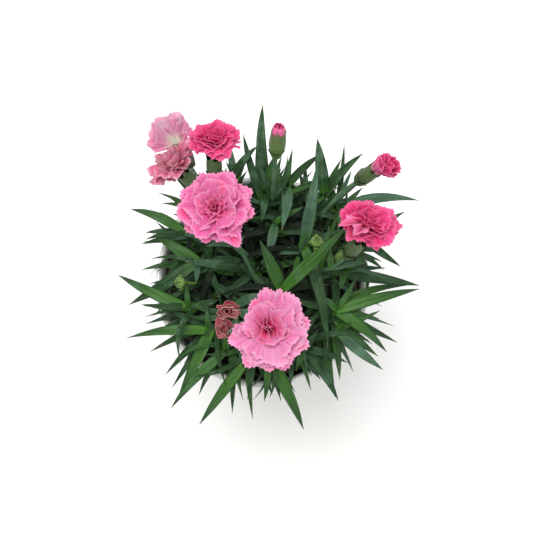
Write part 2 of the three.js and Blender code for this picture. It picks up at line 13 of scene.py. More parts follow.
import bpy
import numpy as np
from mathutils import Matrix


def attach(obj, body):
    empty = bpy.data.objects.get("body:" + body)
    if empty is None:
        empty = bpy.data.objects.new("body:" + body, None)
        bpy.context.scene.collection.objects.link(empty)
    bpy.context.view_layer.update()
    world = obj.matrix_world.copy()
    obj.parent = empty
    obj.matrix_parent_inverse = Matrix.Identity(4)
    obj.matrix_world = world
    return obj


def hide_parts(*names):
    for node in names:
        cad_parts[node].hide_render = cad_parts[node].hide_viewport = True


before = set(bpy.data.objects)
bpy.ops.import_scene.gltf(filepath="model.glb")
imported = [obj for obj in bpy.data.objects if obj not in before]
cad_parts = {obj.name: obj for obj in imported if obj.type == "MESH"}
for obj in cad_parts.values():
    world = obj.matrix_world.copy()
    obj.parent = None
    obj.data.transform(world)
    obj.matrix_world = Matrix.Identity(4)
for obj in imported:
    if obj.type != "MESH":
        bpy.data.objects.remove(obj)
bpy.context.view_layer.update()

LOG = logging.getLogger("potted_dianthus")
MM = 0.001
BODY = "root"
SOIL_TOP = 108.0
STEM_FOOT = 108.3
UP = np.array([0.0, 0.0, 1.0])
CROSSWISE = np.array([0.6, -0.8, 0.0])  # level, so a rising stem never runs along it

Triple = tuple[float, float, float]
Pair = tuple[float, float]
LeafRow = tuple[float, float, float, float, float]
Luck = np.random.Generator
Piece = bpy.types.Object
Socket = bpy.types.NodeSocket
Material = bpy.types.Material


class Tone(Enum):
    """The green of a leaf, as the mark that the leaf finish reads."""

    # painted shade: the near-black green of leaves deep inside the plant
    PAINTED_SHADE = -0.5
    DARK = 0.0
    GREY = 0.5
    BRIGHT = 1.0


TONE_LETTERS = {"d": Tone.DARK, "g": Tone.GREY, "b": Tone.BRIGHT}


# ---------------------------------------------------------------- curves and small sums


def unit(vector: np.ndarray) -> np.ndarray:
    """Scales vectors to length one."""
    return vector / np.linalg.norm(vector, axis=-1, keepdims=True)


def smooth(value: np.ndarray | float, low: float, high: float) -> np.ndarray:
    """Rises smoothly from 0 to 1 between two values.

    Args:
        value: What is looked up.
        low: Where the rise begins.
        high: Where it ends.

    Returns:
        The share of the rise, from 0 to 1.
    """
    share = np.clip((np.asarray(value, float) - low) / (high - low), 0.0, 1.0)
    return share * share * (3.0 - 2.0 * share)


def heading_of(turn: float) -> np.ndarray:
    """The level direction that is turned so many degrees from +X."""
    return np.array([math.cos(math.radians(turn)), math.sin(math.radians(turn)), 0.0])


@dataclass(frozen=True)
class Path:
    """A Bezier curve through space."""

    points: tuple[np.ndarray, ...]

    def at(self, share: np.ndarray | float) -> np.ndarray:
        """Finds places on the curve.

        Args:
            share: Shares of the curve, from 0 to 1.

        Returns:
            A place for each share.
        """
        share = np.asarray(share, float)[..., None]
        rows = [np.asarray(point, float) + 0.0 * share for point in self.points]
        while len(rows) > 1:
            rows = [near + (far - near) * share for near, far in zip(rows, rows[1:])]
        return rows[0]

    def heading(self, share: np.ndarray | float) -> np.ndarray:
        """Finds directions of the curve.

        Args:
            share: Shares of the curve, from 0 to 1.

        Returns:
            A direction of length one for each share.
        """
        step = 0.002
        ahead = np.minimum(np.asarray(share, float) + step, 1.0)
        behind = np.maximum(np.asarray(share, float) - step, 0.0)
        return unit(self.at(ahead) - self.at(behind))


def shoot_path(foot: Pair, top: Triple) -> Path:
    """A leafy shoot leaves the soil upright and then leans out to its top.

    Args:
        foot: Where it stands in the soil.
        top: Where it ends.

    Returns:
        Its curve.
    """
    (x, y), (top_x, top_y, top_z) = foot, top
    rise = top_z - SOIL_TOP
    upright, shoulder = 0.35, 0.75
    return Path((
        np.array([x, y, STEM_FOOT]),
        np.array([x, y, SOIL_TOP + upright * rise]),
        np.array([(x + top_x) / 2, (y + top_y) / 2, SOIL_TOP + shoulder * rise]),
        np.array([top_x, top_y, top_z]),
    ))


def flower_path(foot: Triple, end: Triple, facing: Triple) -> Path:
    """A flower stem sets out upright and arrives along the axis of its flower.

    Args:
        foot: Where it sets out.
        end: The foot of the calyx that it carries.
        facing: The flower's axis.

    Returns:
        Its curve.
    """
    x, y, z = foot
    rise = end[2] - z
    axis = unit(np.array(facing, float))
    upright, arrival, clearance = 0.45, 0.35, 0.3
    return Path((
        np.array([x, y, z]),
        np.array([x, y, z + upright * rise]),
        np.array(end) - axis * arrival * rise,
        np.array(end) - axis * clearance,
    ))


# ---------------------------------------------------------------- the bench


class Bench:
    """Where pieces are modelled by hand: primitives are added, shaped, copied and joined."""

    @staticmethod
    def alone(piece: Piece) -> None:
        """Selects one piece and nothing else.

        Args:
            piece: The piece, which also becomes the active one.
        """
        bpy.ops.object.select_all(action="DESELECT")
        piece.select_set(True)
        bpy.context.view_layer.objects.active = piece

    @staticmethod
    def added(name: str) -> Piece:
        """Names the primitive that was just added and puts its place in its mesh.

        Args:
            name: Its name.

        Returns:
            The piece.
        """
        piece = bpy.context.object
        piece.name = piece.data.name = name
        bpy.ops.object.transform_apply(location=True, rotation=True, scale=True)
        return piece

    @staticmethod
    def turned(
        name: str, profile: Sequence[Pair], sides: int, closed: bool = True
    ) -> Piece:
        """Makes a round piece: a ring is extruded and resized from one profile point to the next.

        Args:
            name: The piece's name.
            profile: Its (radius, height) points, in the unit that the mesh is to have.
            sides: How many sides the ring has.
            closed: Whether a disc closes it at both ends.

        Returns:
            The piece.
        """
        radius, height = profile[0]
        bpy.ops.object.select_all(action="DESELECT")
        bpy.ops.mesh.primitive_circle_add(
            vertices=sides,
            radius=radius,
            fill_type="TRIFAN" if closed else "NOTHING",
            location=(0, 0, height),
        )
        piece = Bench.added(name)
        bpy.ops.object.mode_set(mode="EDIT")
        bpy.ops.mesh.select_mode(type="VERT")
        bpy.ops.mesh.select_all(action="DESELECT" if closed else "SELECT")
        if closed:
            bpy.ops.mesh.select_non_manifold()
        for next_radius, next_height in profile[1:]:
            rise = (0, 0, next_height - height)
            bpy.ops.mesh.extrude_region_move(TRANSFORM_OT_translate={"value": rise})
            ratio = next_radius / radius
            centre = (0, 0, next_height)
            bpy.ops.transform.resize(value=(ratio, ratio, 1), center_override=centre)
            radius, height = next_radius, next_height
        if closed:
            bpy.ops.mesh.edge_face_add()
            bpy.ops.mesh.poke()
        bpy.ops.mesh.select_all(action="SELECT")
        bpy.ops.mesh.normals_make_consistent(inside=False)
        bpy.ops.object.mode_set(mode="OBJECT")
        return piece

    @staticmethod
    def points(piece: Piece) -> np.ndarray:
        """Reads a piece's points.

        Args:
            piece: The piece.

        Returns:
            Rows of x, y, z, as they stand in its mesh.
        """
        rows = np.empty(len(piece.data.vertices) * 3, np.float32)
        piece.data.vertices.foreach_get("co", rows)
        return rows.reshape(-1, 3).astype(float)

    @staticmethod
    def mark(piece: Piece, name: str, value: np.ndarray | float) -> None:
        """Writes a number on each point of a piece, which its finish reads.

        Args:
            piece: The piece.
            name: What the number is called.
            value: One number for all points, or one for each.
        """
        mesh = piece.data
        marks = mesh.attributes.get(name) or mesh.attributes.new(name, "FLOAT", "POINT")
        rows = np.broadcast_to(np.asarray(value, np.float32), (len(mesh.vertices),))
        marks.data.foreach_set("value", np.ascontiguousarray(rows))

    @staticmethod
    def copied(
        blank: Piece, places: np.ndarray, marks: dict[str, np.ndarray | float]
    ) -> Piece:
        """Copies a blank with its own mesh and lays the copy's points in their places.

        Args:
            blank: The piece that is modelled once.
            places: Where the copy's points go, in millimetres.
            marks: Numbers for the finish, one for all points or one for each.

        Returns:
            The copy.
        """
        piece = blank.copy()
        piece.data = blank.data.copy()
        bpy.context.scene.collection.objects.link(piece)
        rows = np.ascontiguousarray(places * MM, np.float32)
        piece.data.vertices.foreach_set("co", rows.ravel())
        for name, value in marks.items():
            Bench.mark(piece, name, value)
        return piece

    @staticmethod
    def joined(name: str, parts: Sequence[Piece]) -> Piece:
        """Joins parts into one piece.

        Args:
            name: The name of the whole.
            parts: The parts, which it takes up.

        Returns:
            The piece.
        """
        Bench.alone(parts[0])
        for part in parts[1:]:
            part.select_set(True)
        bpy.ops.object.join()
        piece = bpy.context.object
        piece.name = piece.data.name = name
        return piece

    @staticmethod
    def apply(piece: Piece, kind: str, **settings: object) -> None:
        """Adds a modifier and applies it.

        Args:
            piece: The piece that it changes.
            kind: The modifier's type.
            **settings: The modifier's settings.
        """
        Bench.alone(piece)
        modifier = piece.modifiers.new(kind.lower(), kind)
        for key, value in settings.items():
            setattr(modifier, key, value)
        bpy.ops.object.modifier_apply(modifier=modifier.name)

    @staticmethod
    def shade(piece: Piece, angle: float) -> None:
        """Shades a piece smooth where its faces meet at less than an angle."""
        Bench.alone(piece)
        bpy.ops.object.shade_smooth_by_angle(angle=math.radians(angle))

    @staticmethod
    def finish(
        piece: Piece, slot: str, material: Material, *nodes: str
    ) -> None:
        """Paints a finished piece and gives it its place among the pieces of the frame.

        Args:
            piece: The piece, with its place in its mesh.
            slot: The name of its material slot, which is only logged.
            material: Its finish.
            nodes: The frame's nodes that it stands for.
        """
        piece.data.materials.clear()
        piece.data.materials.append(material)
        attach(piece, BODY)
        if nodes:
            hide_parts(*nodes)
        LOG.info("%s: %d faces, finish %s", piece.name, len(piece.data.polygons), slot)


# ---------------------------------------------------------------- finishes


def tint(code: str) -> tuple[float, float, float, float]:
    """Turns a colour into the linear colour that shaders use.

    Args:
        code: The colour, written as #rrggbb.

    Returns:
        Red, green, blue and full cover, each from 0 to 1.
    """
    shares = [int(code[place:place + 2], 16) / 255 for place in (1, 3, 5)]
    linear = [s / 12.92 if s <= 0.04045 else ((s + 0.055) / 1.055) ** 2.4 for s in shares]
    return (linear[0], linear[1], linear[2], 1.0)


Feed = Socket | float | tuple


class Graph:
    """A finish in the making: short calls add shader nodes and link them."""

    def __init__(self, name: str) -> None:
        """Starts a material with its plain shader.

        Args:
            name: The material's name.
        """
        self.material = bpy.data.materials.new(name)
        self.material.use_nodes = True
        self.tree = self.material.node_tree
        self.shader = self.tree.nodes["Principled BSDF"]

    def _feed(self, socket: Socket, value: Feed) -> None:
        """Links a socket to another one, or sets it to a constant.

        Args:
            socket: The socket that is fed.
            value: The other socket, or the constant.
        """
        if isinstance(value, Socket):
            self.tree.links.new(value, socket)
        else:
            socket.default_value = value

    def _node(self, kind: str, inputs: dict[int | str, Feed], **settings: object) -> bpy.types.Node:
        """Adds a node.

        Args:
            kind: The node's type.
            inputs: What its inputs are fed, by their place or name.
            **settings: Its settings.

        Returns:
            The node.
        """
        node = self.tree.nodes.new(kind)
        for key, value in settings.items():
            setattr(node, key, value)
        for key, value in inputs.items():
            self._feed(node.inputs[key], value)
        return node

    def mark(self, name: str) -> Socket:
        """Reads a number that is marked on the piece's points."""
        return self._node("ShaderNodeAttribute", {}, attribute_name=name).outputs["Fac"]

    def place(self) -> Socket:
        """Reads the place on the piece, in metres."""
        return self._node("ShaderNodeTexCoord", {}).outputs["Object"]

    def vector(self, x: Feed, y: Feed, z: Feed) -> Socket:
        """Puts three numbers together as a place."""
        return self._node("ShaderNodeCombineXYZ", {0: x, 1: y, 2: z}).outputs[0]

    def math(self, operation: str, first: Feed, second: Feed = 0.0) -> Socket:
        """Works out a sum of two numbers."""
        return self._node("ShaderNodeMath", {0: first, 1: second}, operation=operation).outputs[0]

    def times(self, first: Feed, second: Feed) -> Socket:
        """Multiplies two numbers."""
        return self.math("MULTIPLY", first, second)

    def span(
        self, value: Feed, low: float, high: float, start: float = 0.0, end: float = 1.0
    ) -> Socket:
        """Maps a number smoothly from one range to another.

        Args:
            value: The number.
            low: Where the first range begins.
            high: Where it ends.
            start: The result at low and below.
            end: The result at high and above.

        Returns:
            The mapped number.
        """
        inputs = {0: value, 1: low, 2: high, 3: start, 4: end}
        node = self._node("ShaderNodeMapRange", inputs, interpolation_type="SMOOTHSTEP")
        return node.outputs[0]

    def noise(self, at: Feed, scale: float, detail: float = 2.0) -> Socket:
        """Reads a soft noise at a place."""
        inputs = {"Vector": at, "Scale": scale, "Detail": detail}
        return self._node("ShaderNodeTexNoise", inputs).outputs[0]

    def blend(self, share: Feed, first: Feed, second: Feed) -> Socket:
        """Mixes two colours."""
        inputs = {0: share, 6: first, 7: second}
        return self._node("ShaderNodeMix", inputs, data_type="RGBA").outputs[2]

    def bump(self, height: Feed, distance: float, strength: float = 1.0) -> Socket:
        """Raises the surface by a height of so many metres."""
        inputs = {"Height": height, "Distance": distance, "Strength": strength}
        return self._node("ShaderNodeBump", inputs).outputs[0]

    def done(self, **sockets: Feed) -> Material:
        """Feeds the shader's own sockets, which completes the material.

        Args:
            **sockets: What each socket is fed, with _ for a space in its name.

        Returns:
            The material.
        """
        for key, value in sockets.items():
            self._feed(self.shader.inputs[key.replace("_", " ")], value)
        return self.material


@dataclass(frozen=True)
class LeafFinish:
    """Satin leaf: dark blue-green to bright green, with fine lengthwise lines, a pale bloom that is
    partly painted sheen, and a near-black green of painted shade for leaves deep in the plant.
    """

    name: str = "leaf_green"
    # near-black green of the painted shade, also used for the dark lines between the stripes
    deep: str = "#081606"
    dark: str = "#1d3d1a"
    grey: str = "#42624c"
    bright: str = "#35621c"
    far: str = "#2a4e24"
    line: str = "#648857"
    # pale grey-green of the bloom patches, which are partly painted sheen
    bloom: str = "#668770"
    base: str = "#528630"
    dry: str = "#8a7a62"

    def material(self) -> Material:
        """Builds the shader.

        Returns:
            The material.
        """
        graph = Graph(self.name)
        along, across = graph.mark("along"), graph.mark("across")
        tone, chance = graph.mark("tone"), graph.mark("chance")
        side = graph.math("ABSOLUTE", across)
        patches = graph.noise(graph.place(), 110.0, 4.0)
        bright = graph.blend(graph.span(along, 0.25, 0.95), tint(self.bright), tint(self.far))
        # painted shade: leaves marked as in shade (tone below zero) take the near-black green
        green = graph.blend(graph.span(tone, -0.5, 0.0), tint(self.deep), tint(self.dark))
        green = graph.blend(graph.span(tone, 0.0, 0.5), green, tint(self.grey))
        green = graph.blend(graph.span(tone, 0.5, 1.0), green, bright)
        # leaves in painted shade show little of the lines, bloom, rib and pale foot
        lively = graph.span(tone, -0.5, 0.25, 0.15, 1.0)
        dull = graph.span(tone, 0.5, 1.0, 1.0, 0.4)
        cool = graph.times(graph.span(chance, 0.3, 1.0, 0.0, 0.25), lively)
        green = graph.blend(graph.times(cool, dull), green, tint(self.grey))
        # pale patches: partly the leaves' waxy bloom, partly painted sheen
        bloom_and_sheen = graph.times(graph.span(patches, 0.48, 0.68, 0.0, 0.5), lively)
        bloom_and_sheen = graph.times(bloom_and_sheen, dull)
        green = graph.blend(bloom_and_sheen, green, tint(self.bloom))
        stripes = graph.noise(
            graph.vector(
                graph.times(across, 3.2),
                graph.times(along, 1.2),
                graph.times(chance, 30.0),
            ),
            2.0,
            3.0,
        )
        lines = graph.times(graph.span(stripes, 0.5, 0.7, 0.0, 0.45), lively)
        green = graph.blend(lines, green, tint(self.line))
        green = graph.blend(graph.span(stripes, 0.46, 0.3, 0.0, 0.5), green, tint(self.deep))
        rib = graph.times(graph.span(side, 0.16, 0.03, 0.0, 0.25), lively)
        green = graph.blend(rib, green, tint(self.line))
        foot = graph.times(graph.span(along, 0.25, 0.0, 0.0, 0.6), lively)
        green = graph.blend(foot, green, tint(self.base))
        dry = graph.times(graph.span(along, 0.92, 1.0), graph.span(chance, 0.2, 0.7))
        green = graph.blend(dry, green, tint(self.dry))
        groove = graph.math("ADD", graph.span(side, 0.0, 0.14), stripes)
        return graph.done(
            Base_Color=green,
            Roughness=graph.span(patches, 0.3, 0.7, 0.42, 0.6),
            Normal=graph.bump(groove, 0.0005, 0.8),
            Specular_IOR_Level=0.22,
        )


@dataclass(frozen=True)
class StemFinish:
    """Satin stem with a bluish bloom."""

    name: str = "stem_green"
    green: str = "#3f6134"
    bloom: str = "#6a8468"

    def material(self) -> Material:
        """Builds the shader.

        Returns:
            The material.
        """
        graph = Graph(self.name)
        patches = graph.noise(graph.place(), 240.0, 3.0)
        share = graph.span(patches, 0.4, 0.7, 0.0, 0.7)
        return graph.done(
            Base_Color=graph.blend(share, tint(self.green), tint(self.bloom)),
            Roughness=graph.span(patches, 0.3, 0.7, 0.42, 0.6),
            Normal=graph.bump(patches, 0.0002, 0.4),
        )


@dataclass(frozen=True)
class CalyxFinish:
    """Ribbed calyx: dark at its foot, lighter upwards, with pale tips to its teeth."""

    name: str = "calyx_green"
    foot: str = "#243b1b"
    top: str = "#3c5728"
    tip: str = "#a3a874"
    bloom: str = "#4e6749"

    def material(self) -> Material:
        """Builds the shader.

        Returns:
            The material.
        """
        graph = Graph(self.name)
        along, across = graph.mark("along"), graph.mark("across")
        patches = graph.noise(graph.place(), 260.0, 3.0)
        lines = graph.math("SINE", graph.times(across, 126.0))
        green = graph.blend(graph.span(along, 0.1, 0.85), tint(self.foot), tint(self.top))
        green = graph.blend(graph.span(patches, 0.5, 0.75, 0.0, 0.4), green, tint(self.bloom))
        green = graph.blend(graph.span(lines, 0.3, 1.0, 0.0, 0.14), green, tint(self.tip))
        green = graph.blend(graph.span(along, 0.93, 1.0, 0.0, 0.7), green, tint(self.tip))
        return graph.done(
            Base_Color=green,
            Roughness=graph.span(patches, 0.3, 0.7, 0.4, 0.55),
            Normal=graph.bump(lines, 0.0002, 0.5),
        )


@dataclass(frozen=True)
class PetalFinish:
    """Soft petal: a throat and heart darkened with painted shade and glow, painted shade in the
    valleys of its waves, a clearer blade with fine veins, and a pale toothed edge.
    """

    name: str
    claw: str
    body: str
    deep: str
    edge: str
    rim: float = 0.5
    streak: float = 0.28
    # heart: how far the painted shade of the heart darkens the inner petals
    heart: float = 0.85
    claw_reach: float = 0.42
    # glow: how much painted shade and glow darken each petal's lower part
    glow: float = 0.55
    scorch: float = 0.0

    def material(self) -> Material:
        """Builds the shader.

        Returns:
            The material.
        """
        graph = Graph(self.name)
        along, across = graph.mark("along"), graph.mark("across")
        depth, fold, chance = graph.mark("depth"), graph.mark("fold"), graph.mark("chance")
        pale = graph.mark("pale")
        veins = graph.noise(
            graph.vector(
                graph.times(across, 7.0),
                graph.times(along, 0.9),
                graph.times(chance, 50.0),
            ),
            1.6,
            3.0,
        )
        patches = graph.noise(graph.place(), 130.0, 2.0)
        blade = graph.math("ADD", along, graph.span(veins, 0.3, 0.7, -0.08, 0.08))
        start = 0.3 * self.claw_reach
        colour = graph.blend(graph.span(blade, start, self.claw_reach), tint(self.claw), tint(self.body))
        # painted shade and glow of the heart: inner petals take the deep crimson, except at their tips
        throat = graph.times(depth, graph.span(along, 1.0, 0.72, 0.0, self.heart))
        colour = graph.blend(throat, colour, tint(self.deep))
        # painted shade and glow on each petal's lower part, which lies inside the flower
        near = graph.times(graph.span(along, 0.66, 0.3), self.glow)
        colour = graph.blend(near, colour, tint(self.deep))
        # painted shade in the valleys of the petal's waves
        colour = graph.blend(graph.span(fold, 0.2, 1.0, 0.0, 0.5), colour, tint(self.deep))
        streaks = graph.span(veins, 0.45, 0.75, 0.0, self.streak)
        colour = graph.blend(streaks, colour, tint(self.edge))
        darker = graph.span(veins, 0.45, 0.25, 0.0, 0.5 * self.streak)
        colour = graph.blend(darker, colour, tint(self.deep))
        colour = graph.blend(graph.span(patches, 0.55, 0.8, 0.0, 0.2), colour, tint(self.edge))
        narrow = graph.times(graph.span(graph.math("ABSOLUTE", across), 0.6, 1.0), pale)
        rim = graph.math("MAXIMUM", graph.span(along, 0.86, 1.0), narrow)
        # inner petals lose most of their pale rim, part of the painted shade of the heart
        rim = graph.times(rim, graph.span(depth, 0.0, 1.0, 1.0, 0.1))
        colour = graph.blend(graph.times(pale, 0.7), colour, tint(self.edge))
        colour = graph.blend(graph.times(rim, self.rim), colour, tint(self.edge))
        dried = graph.times(graph.span(along, 0.8, 1.0), graph.span(veins, 0.4, 0.65))
        dried = graph.times(dried, self.scorch)
        colour = graph.blend(dried, colour, tint(self.deep))
        return graph.done(
            Base_Color=colour,
            Roughness=graph.span(patches, 0.3, 0.7, 0.55, 0.7),
            Normal=graph.bump(veins, 0.0004, 0.5),
            Specular_IOR_Level=0.25,
            Subsurface_Weight=0.35,
            Subsurface_Radius=(1.0, 0.35, 0.5),
            Subsurface_Scale=0.002,
        )


@dataclass(frozen=True)
class GlazeFinish:
    """White satin glaze with fine specks and a slight unevenness."""

    name: str = "white_glaze_finish"
    white: str = "#e9eae6"
    shade: str = "#d3d5cf"
    speck: str = "#a9a79c"

    def material(self) -> Material:
        """Builds the shader.

        Returns:
            The material.
        """
        graph = Graph(self.name)
        place = graph.place()
        clouds = graph.noise(place, 22.0, 4.0)
        specks = graph.noise(place, 900.0, 1.0)
        colour = graph.blend(graph.span(clouds, 0.4, 0.7, 0.0, 0.6), tint(self.white), tint(self.shade))
        colour = graph.blend(graph.span(specks, 0.7, 0.78, 0.0, 0.5), colour, tint(self.speck))
        return graph.done(
            Base_Color=colour,
            Roughness=graph.span(clouds, 0.3, 0.7, 0.2, 0.32),
            Normal=graph.bump(clouds, 0.0006, 0.15),
            Coat_Weight=0.3,
            Coat_Roughness=0.12,
        )


@dataclass(frozen=True)
class PlasticFinish:
    """Matt dark brown-grey plastic, dusty in places."""

    name: str = "dark_plastic"
    dark: str = "#3b332d"
    dust: str = "#6b6055"

    def material(self) -> Material:
        """Builds the shader.

        Returns:
            The material.
        """
        graph = Graph(self.name)
        place = graph.place()
        dust = graph.noise(place, 60.0, 5.0)
        grain = graph.noise(place, 1500.0, 2.0)
        return graph.done(
            Base_Color=graph.blend(graph.span(dust, 0.45, 0.8), tint(self.dark), tint(self.dust)),
            Roughness=graph.span(dust, 0.3, 0.7, 0.5, 0.75),
            Normal=graph.bump(grain, 0.0001, 0.5),
        )


@dataclass(frozen=True)
class SoilFinish:
    """Moist peat with lighter fibres."""

    name: str = "moist_peat"
    wet: str = "#17100c"
    crumb: str = "#3c2b1f"
    fibre: str = "#6b5038"

    def material(self) -> Material:
        """Builds the shader.

        Returns:
            The material.
        """
        graph = Graph(self.name)
        place = graph.place()
        crumbs = graph.noise(place, 260.0, 5.0)
        fibres = graph.noise(place, 1100.0, 3.0)
        colour = graph.blend(graph.span(crumbs, 0.35, 0.7), tint(self.wet), tint(self.crumb))
        colour = graph.blend(graph.span(fibres, 0.62, 0.75, 0.0, 0.7), colour, tint(self.fibre))
        return graph.done(
            Base_Color=colour,
            Roughness=graph.span(crumbs, 0.3, 0.7, 0.75, 0.95),
            Normal=graph.bump(crumbs, 0.002, 0.9),
        )


@dataclass(frozen=True)
class FloorFinish:
    """Plain pale floor with a trace of cloudiness."""

    name: str = "pale_floor"
    pale: str = "#fbfbfa"
    shade: str = "#f5f5f3"

    def material(self) -> Material:
        """Builds the shader.

        Returns:
            The material.
        """
        graph = Graph(self.name)
        clouds = graph.noise(graph.place(), 3.0, 3.0)
        colour = graph.blend(graph.span(clouds, 0.4, 0.7), tint(self.pale), tint(self.shade))
        return graph.done(Base_Color=colour, Roughness=0.8)


# ---------------------------------------------------------------- pots and soil


@dataclass
class CoverPot:
    """The white cover pot: a plain cone with a rounded lip and a small foot ring."""

    height: float = 120.0
    foot_radius: float = 48.0
    rim_radius: float = 67.0
    wall: float = 4.0
    floor: float = 6.0
    lip: float = 2.0
    recess: float = 1.4
    foot_height: float = 1.5
    corner: float = 3.0
    corner_cut: float = 0.9
    wall_steps: int = 10
    lip_steps: int = 8
    sides: int = 128

    def radius(self, height: float) -> float:
        """Outer radius at a height."""
        return self.foot_radius + (self.rim_radius - self.foot_radius) * height / self.height

    def profile(self) -> list[Pair]:
        """Lists the outline from the middle of the foot, up, over the lip and down inside.

        Returns:
            Its (radius, height) points.
        """
        foot = self.foot_radius
        points = [(foot - 9.0, self.recess), (foot - 6.0, self.recess), (foot - 5.0, 0.3)]
        points += [(foot - 4.2, 0.0), (foot - 1.6, 0.0), (foot - 0.5, 0.4)]
        points.append((foot + 0.1, self.foot_height))
        shoulder = self.height - self.lip
        for step in range(1, self.wall_steps + 1):
            height = self.foot_height + (shoulder - self.foot_height) * step / self.wall_steps
            points.append((self.radius(height), height))
        middle = self.rim_radius - self.lip
        for step in range(1, self.lip_steps):
            turn = math.pi * step / self.lip_steps
            points.append((middle + self.lip * math.cos(turn), shoulder + self.lip * math.sin(turn)))
        for step in range(self.wall_steps + 1):
            height = shoulder - (shoulder - self.floor - self.corner) * step / self.wall_steps
            points.append((self.radius(height) - self.wall, height))
        inside = self.radius(self.floor) - self.wall
        points.append((inside - self.corner_cut, self.floor + self.corner_cut))
        points.append((inside - self.corner, self.floor))
        return points

    def build(self) -> None:
        """Turns and glazes the pot."""
        profile = [(radius * MM, height * MM) for radius, height in self.profile()]
        pot = Bench.turned("white_cover_pot", profile, self.sides)
        Bench.shade(pot, 40.0)
        Bench.finish(pot, "white_glaze", GlazeFinish().material(), "cover_pot")


@dataclass
class GrowPot:
    """The dark grow pot, with a stiffening band under its rim and holes in its floor."""

    foot: float = 6.3
    height: float = 108.0
    foot_radius: float = 38.0
    rim_radius: float = 59.0
    wall: float = 1.2
    band_height: float = 9.0
    band_step: float = 2.2
    floor: float = 1.8
    holes: int = 6
    hole_radius: float = 3.0
    hole_circle: float = 29.0
    sides: int = 128

    def wall_radius(self, height: float) -> float:
        """Works out how wide the plain wall is.

        Args:
            height: A height above the pot's own foot.

        Returns:
            The wall's outer radius there.
        """
        band_foot = self.height - self.band_height
        slope = (self.rim_radius - self.band_step - self.foot_radius) / band_foot
        return self.foot_radius + slope * height

    def build(self) -> None:
        """Turns the pot, drills its holes and paints it."""
        band = self.height - self.band_height
        rim, wall = self.rim_radius, self.wall
        bead = 0.35
        profile = [
            (self.foot_radius - 4.0, 0.0),
            (self.foot_radius - 0.6, 0.0),
            (self.foot_radius, 0.7),
            (self.wall_radius(band / 2), band / 2),
            (self.wall_radius(band), band),
            (rim - wall + bead, band + 0.2),
            (rim - wall / 2, band + 0.8),
            (rim, self.height - 2.2),
            (rim + bead, self.height - 1.4),
            (rim + bead, self.height - 0.5),
            (rim - 0.2, self.height),
            (rim - wall + 0.1, self.height),
            (rim - wall - 0.2, self.height - 0.5),
            (rim - 1.5 * wall, band + wall),
            (self.wall_radius(band) - wall, band + wall - 0.3),
            (self.wall_radius(band / 2) - wall, band / 2),
            (self.foot_radius - wall, self.floor + 0.8),
            (self.foot_radius - wall - 1.0, self.floor),
        ]
        placed = [(radius * MM, (self.foot + height) * MM) for radius, height in profile]
        pot = Bench.turned("dark_grow_pot", placed, self.sides)
        for drill in self.drills():
            Bench.apply(pot, "BOOLEAN", object=drill, operation="DIFFERENCE", solver="EXACT")
            bpy.data.objects.remove(drill)
        Bench.shade(pot, 35.0)
        Bench.finish(pot, "dark_pot", PlasticFinish().material(), "grow_pot")

    def drills(self) -> list[Piece]:
        """Makes the round drills that cut the drain holes.

        Returns:
            The drills, each in its place.
        """
        drills = []
        for hole in range(self.holes):
            turn = 2 * math.pi * hole / self.holes
            reach = self.hole_circle * MM
            bpy.ops.object.select_all(action="DESELECT")
            bpy.ops.mesh.primitive_cylinder_add(
                vertices=24,
                radius=self.hole_radius * MM,
                depth=4 * self.wall * MM,
                location=(reach * math.cos(turn), reach * math.sin(turn), self.foot * MM),
            )
            drills.append(Bench.added(f"drill_{hole}"))
        return drills


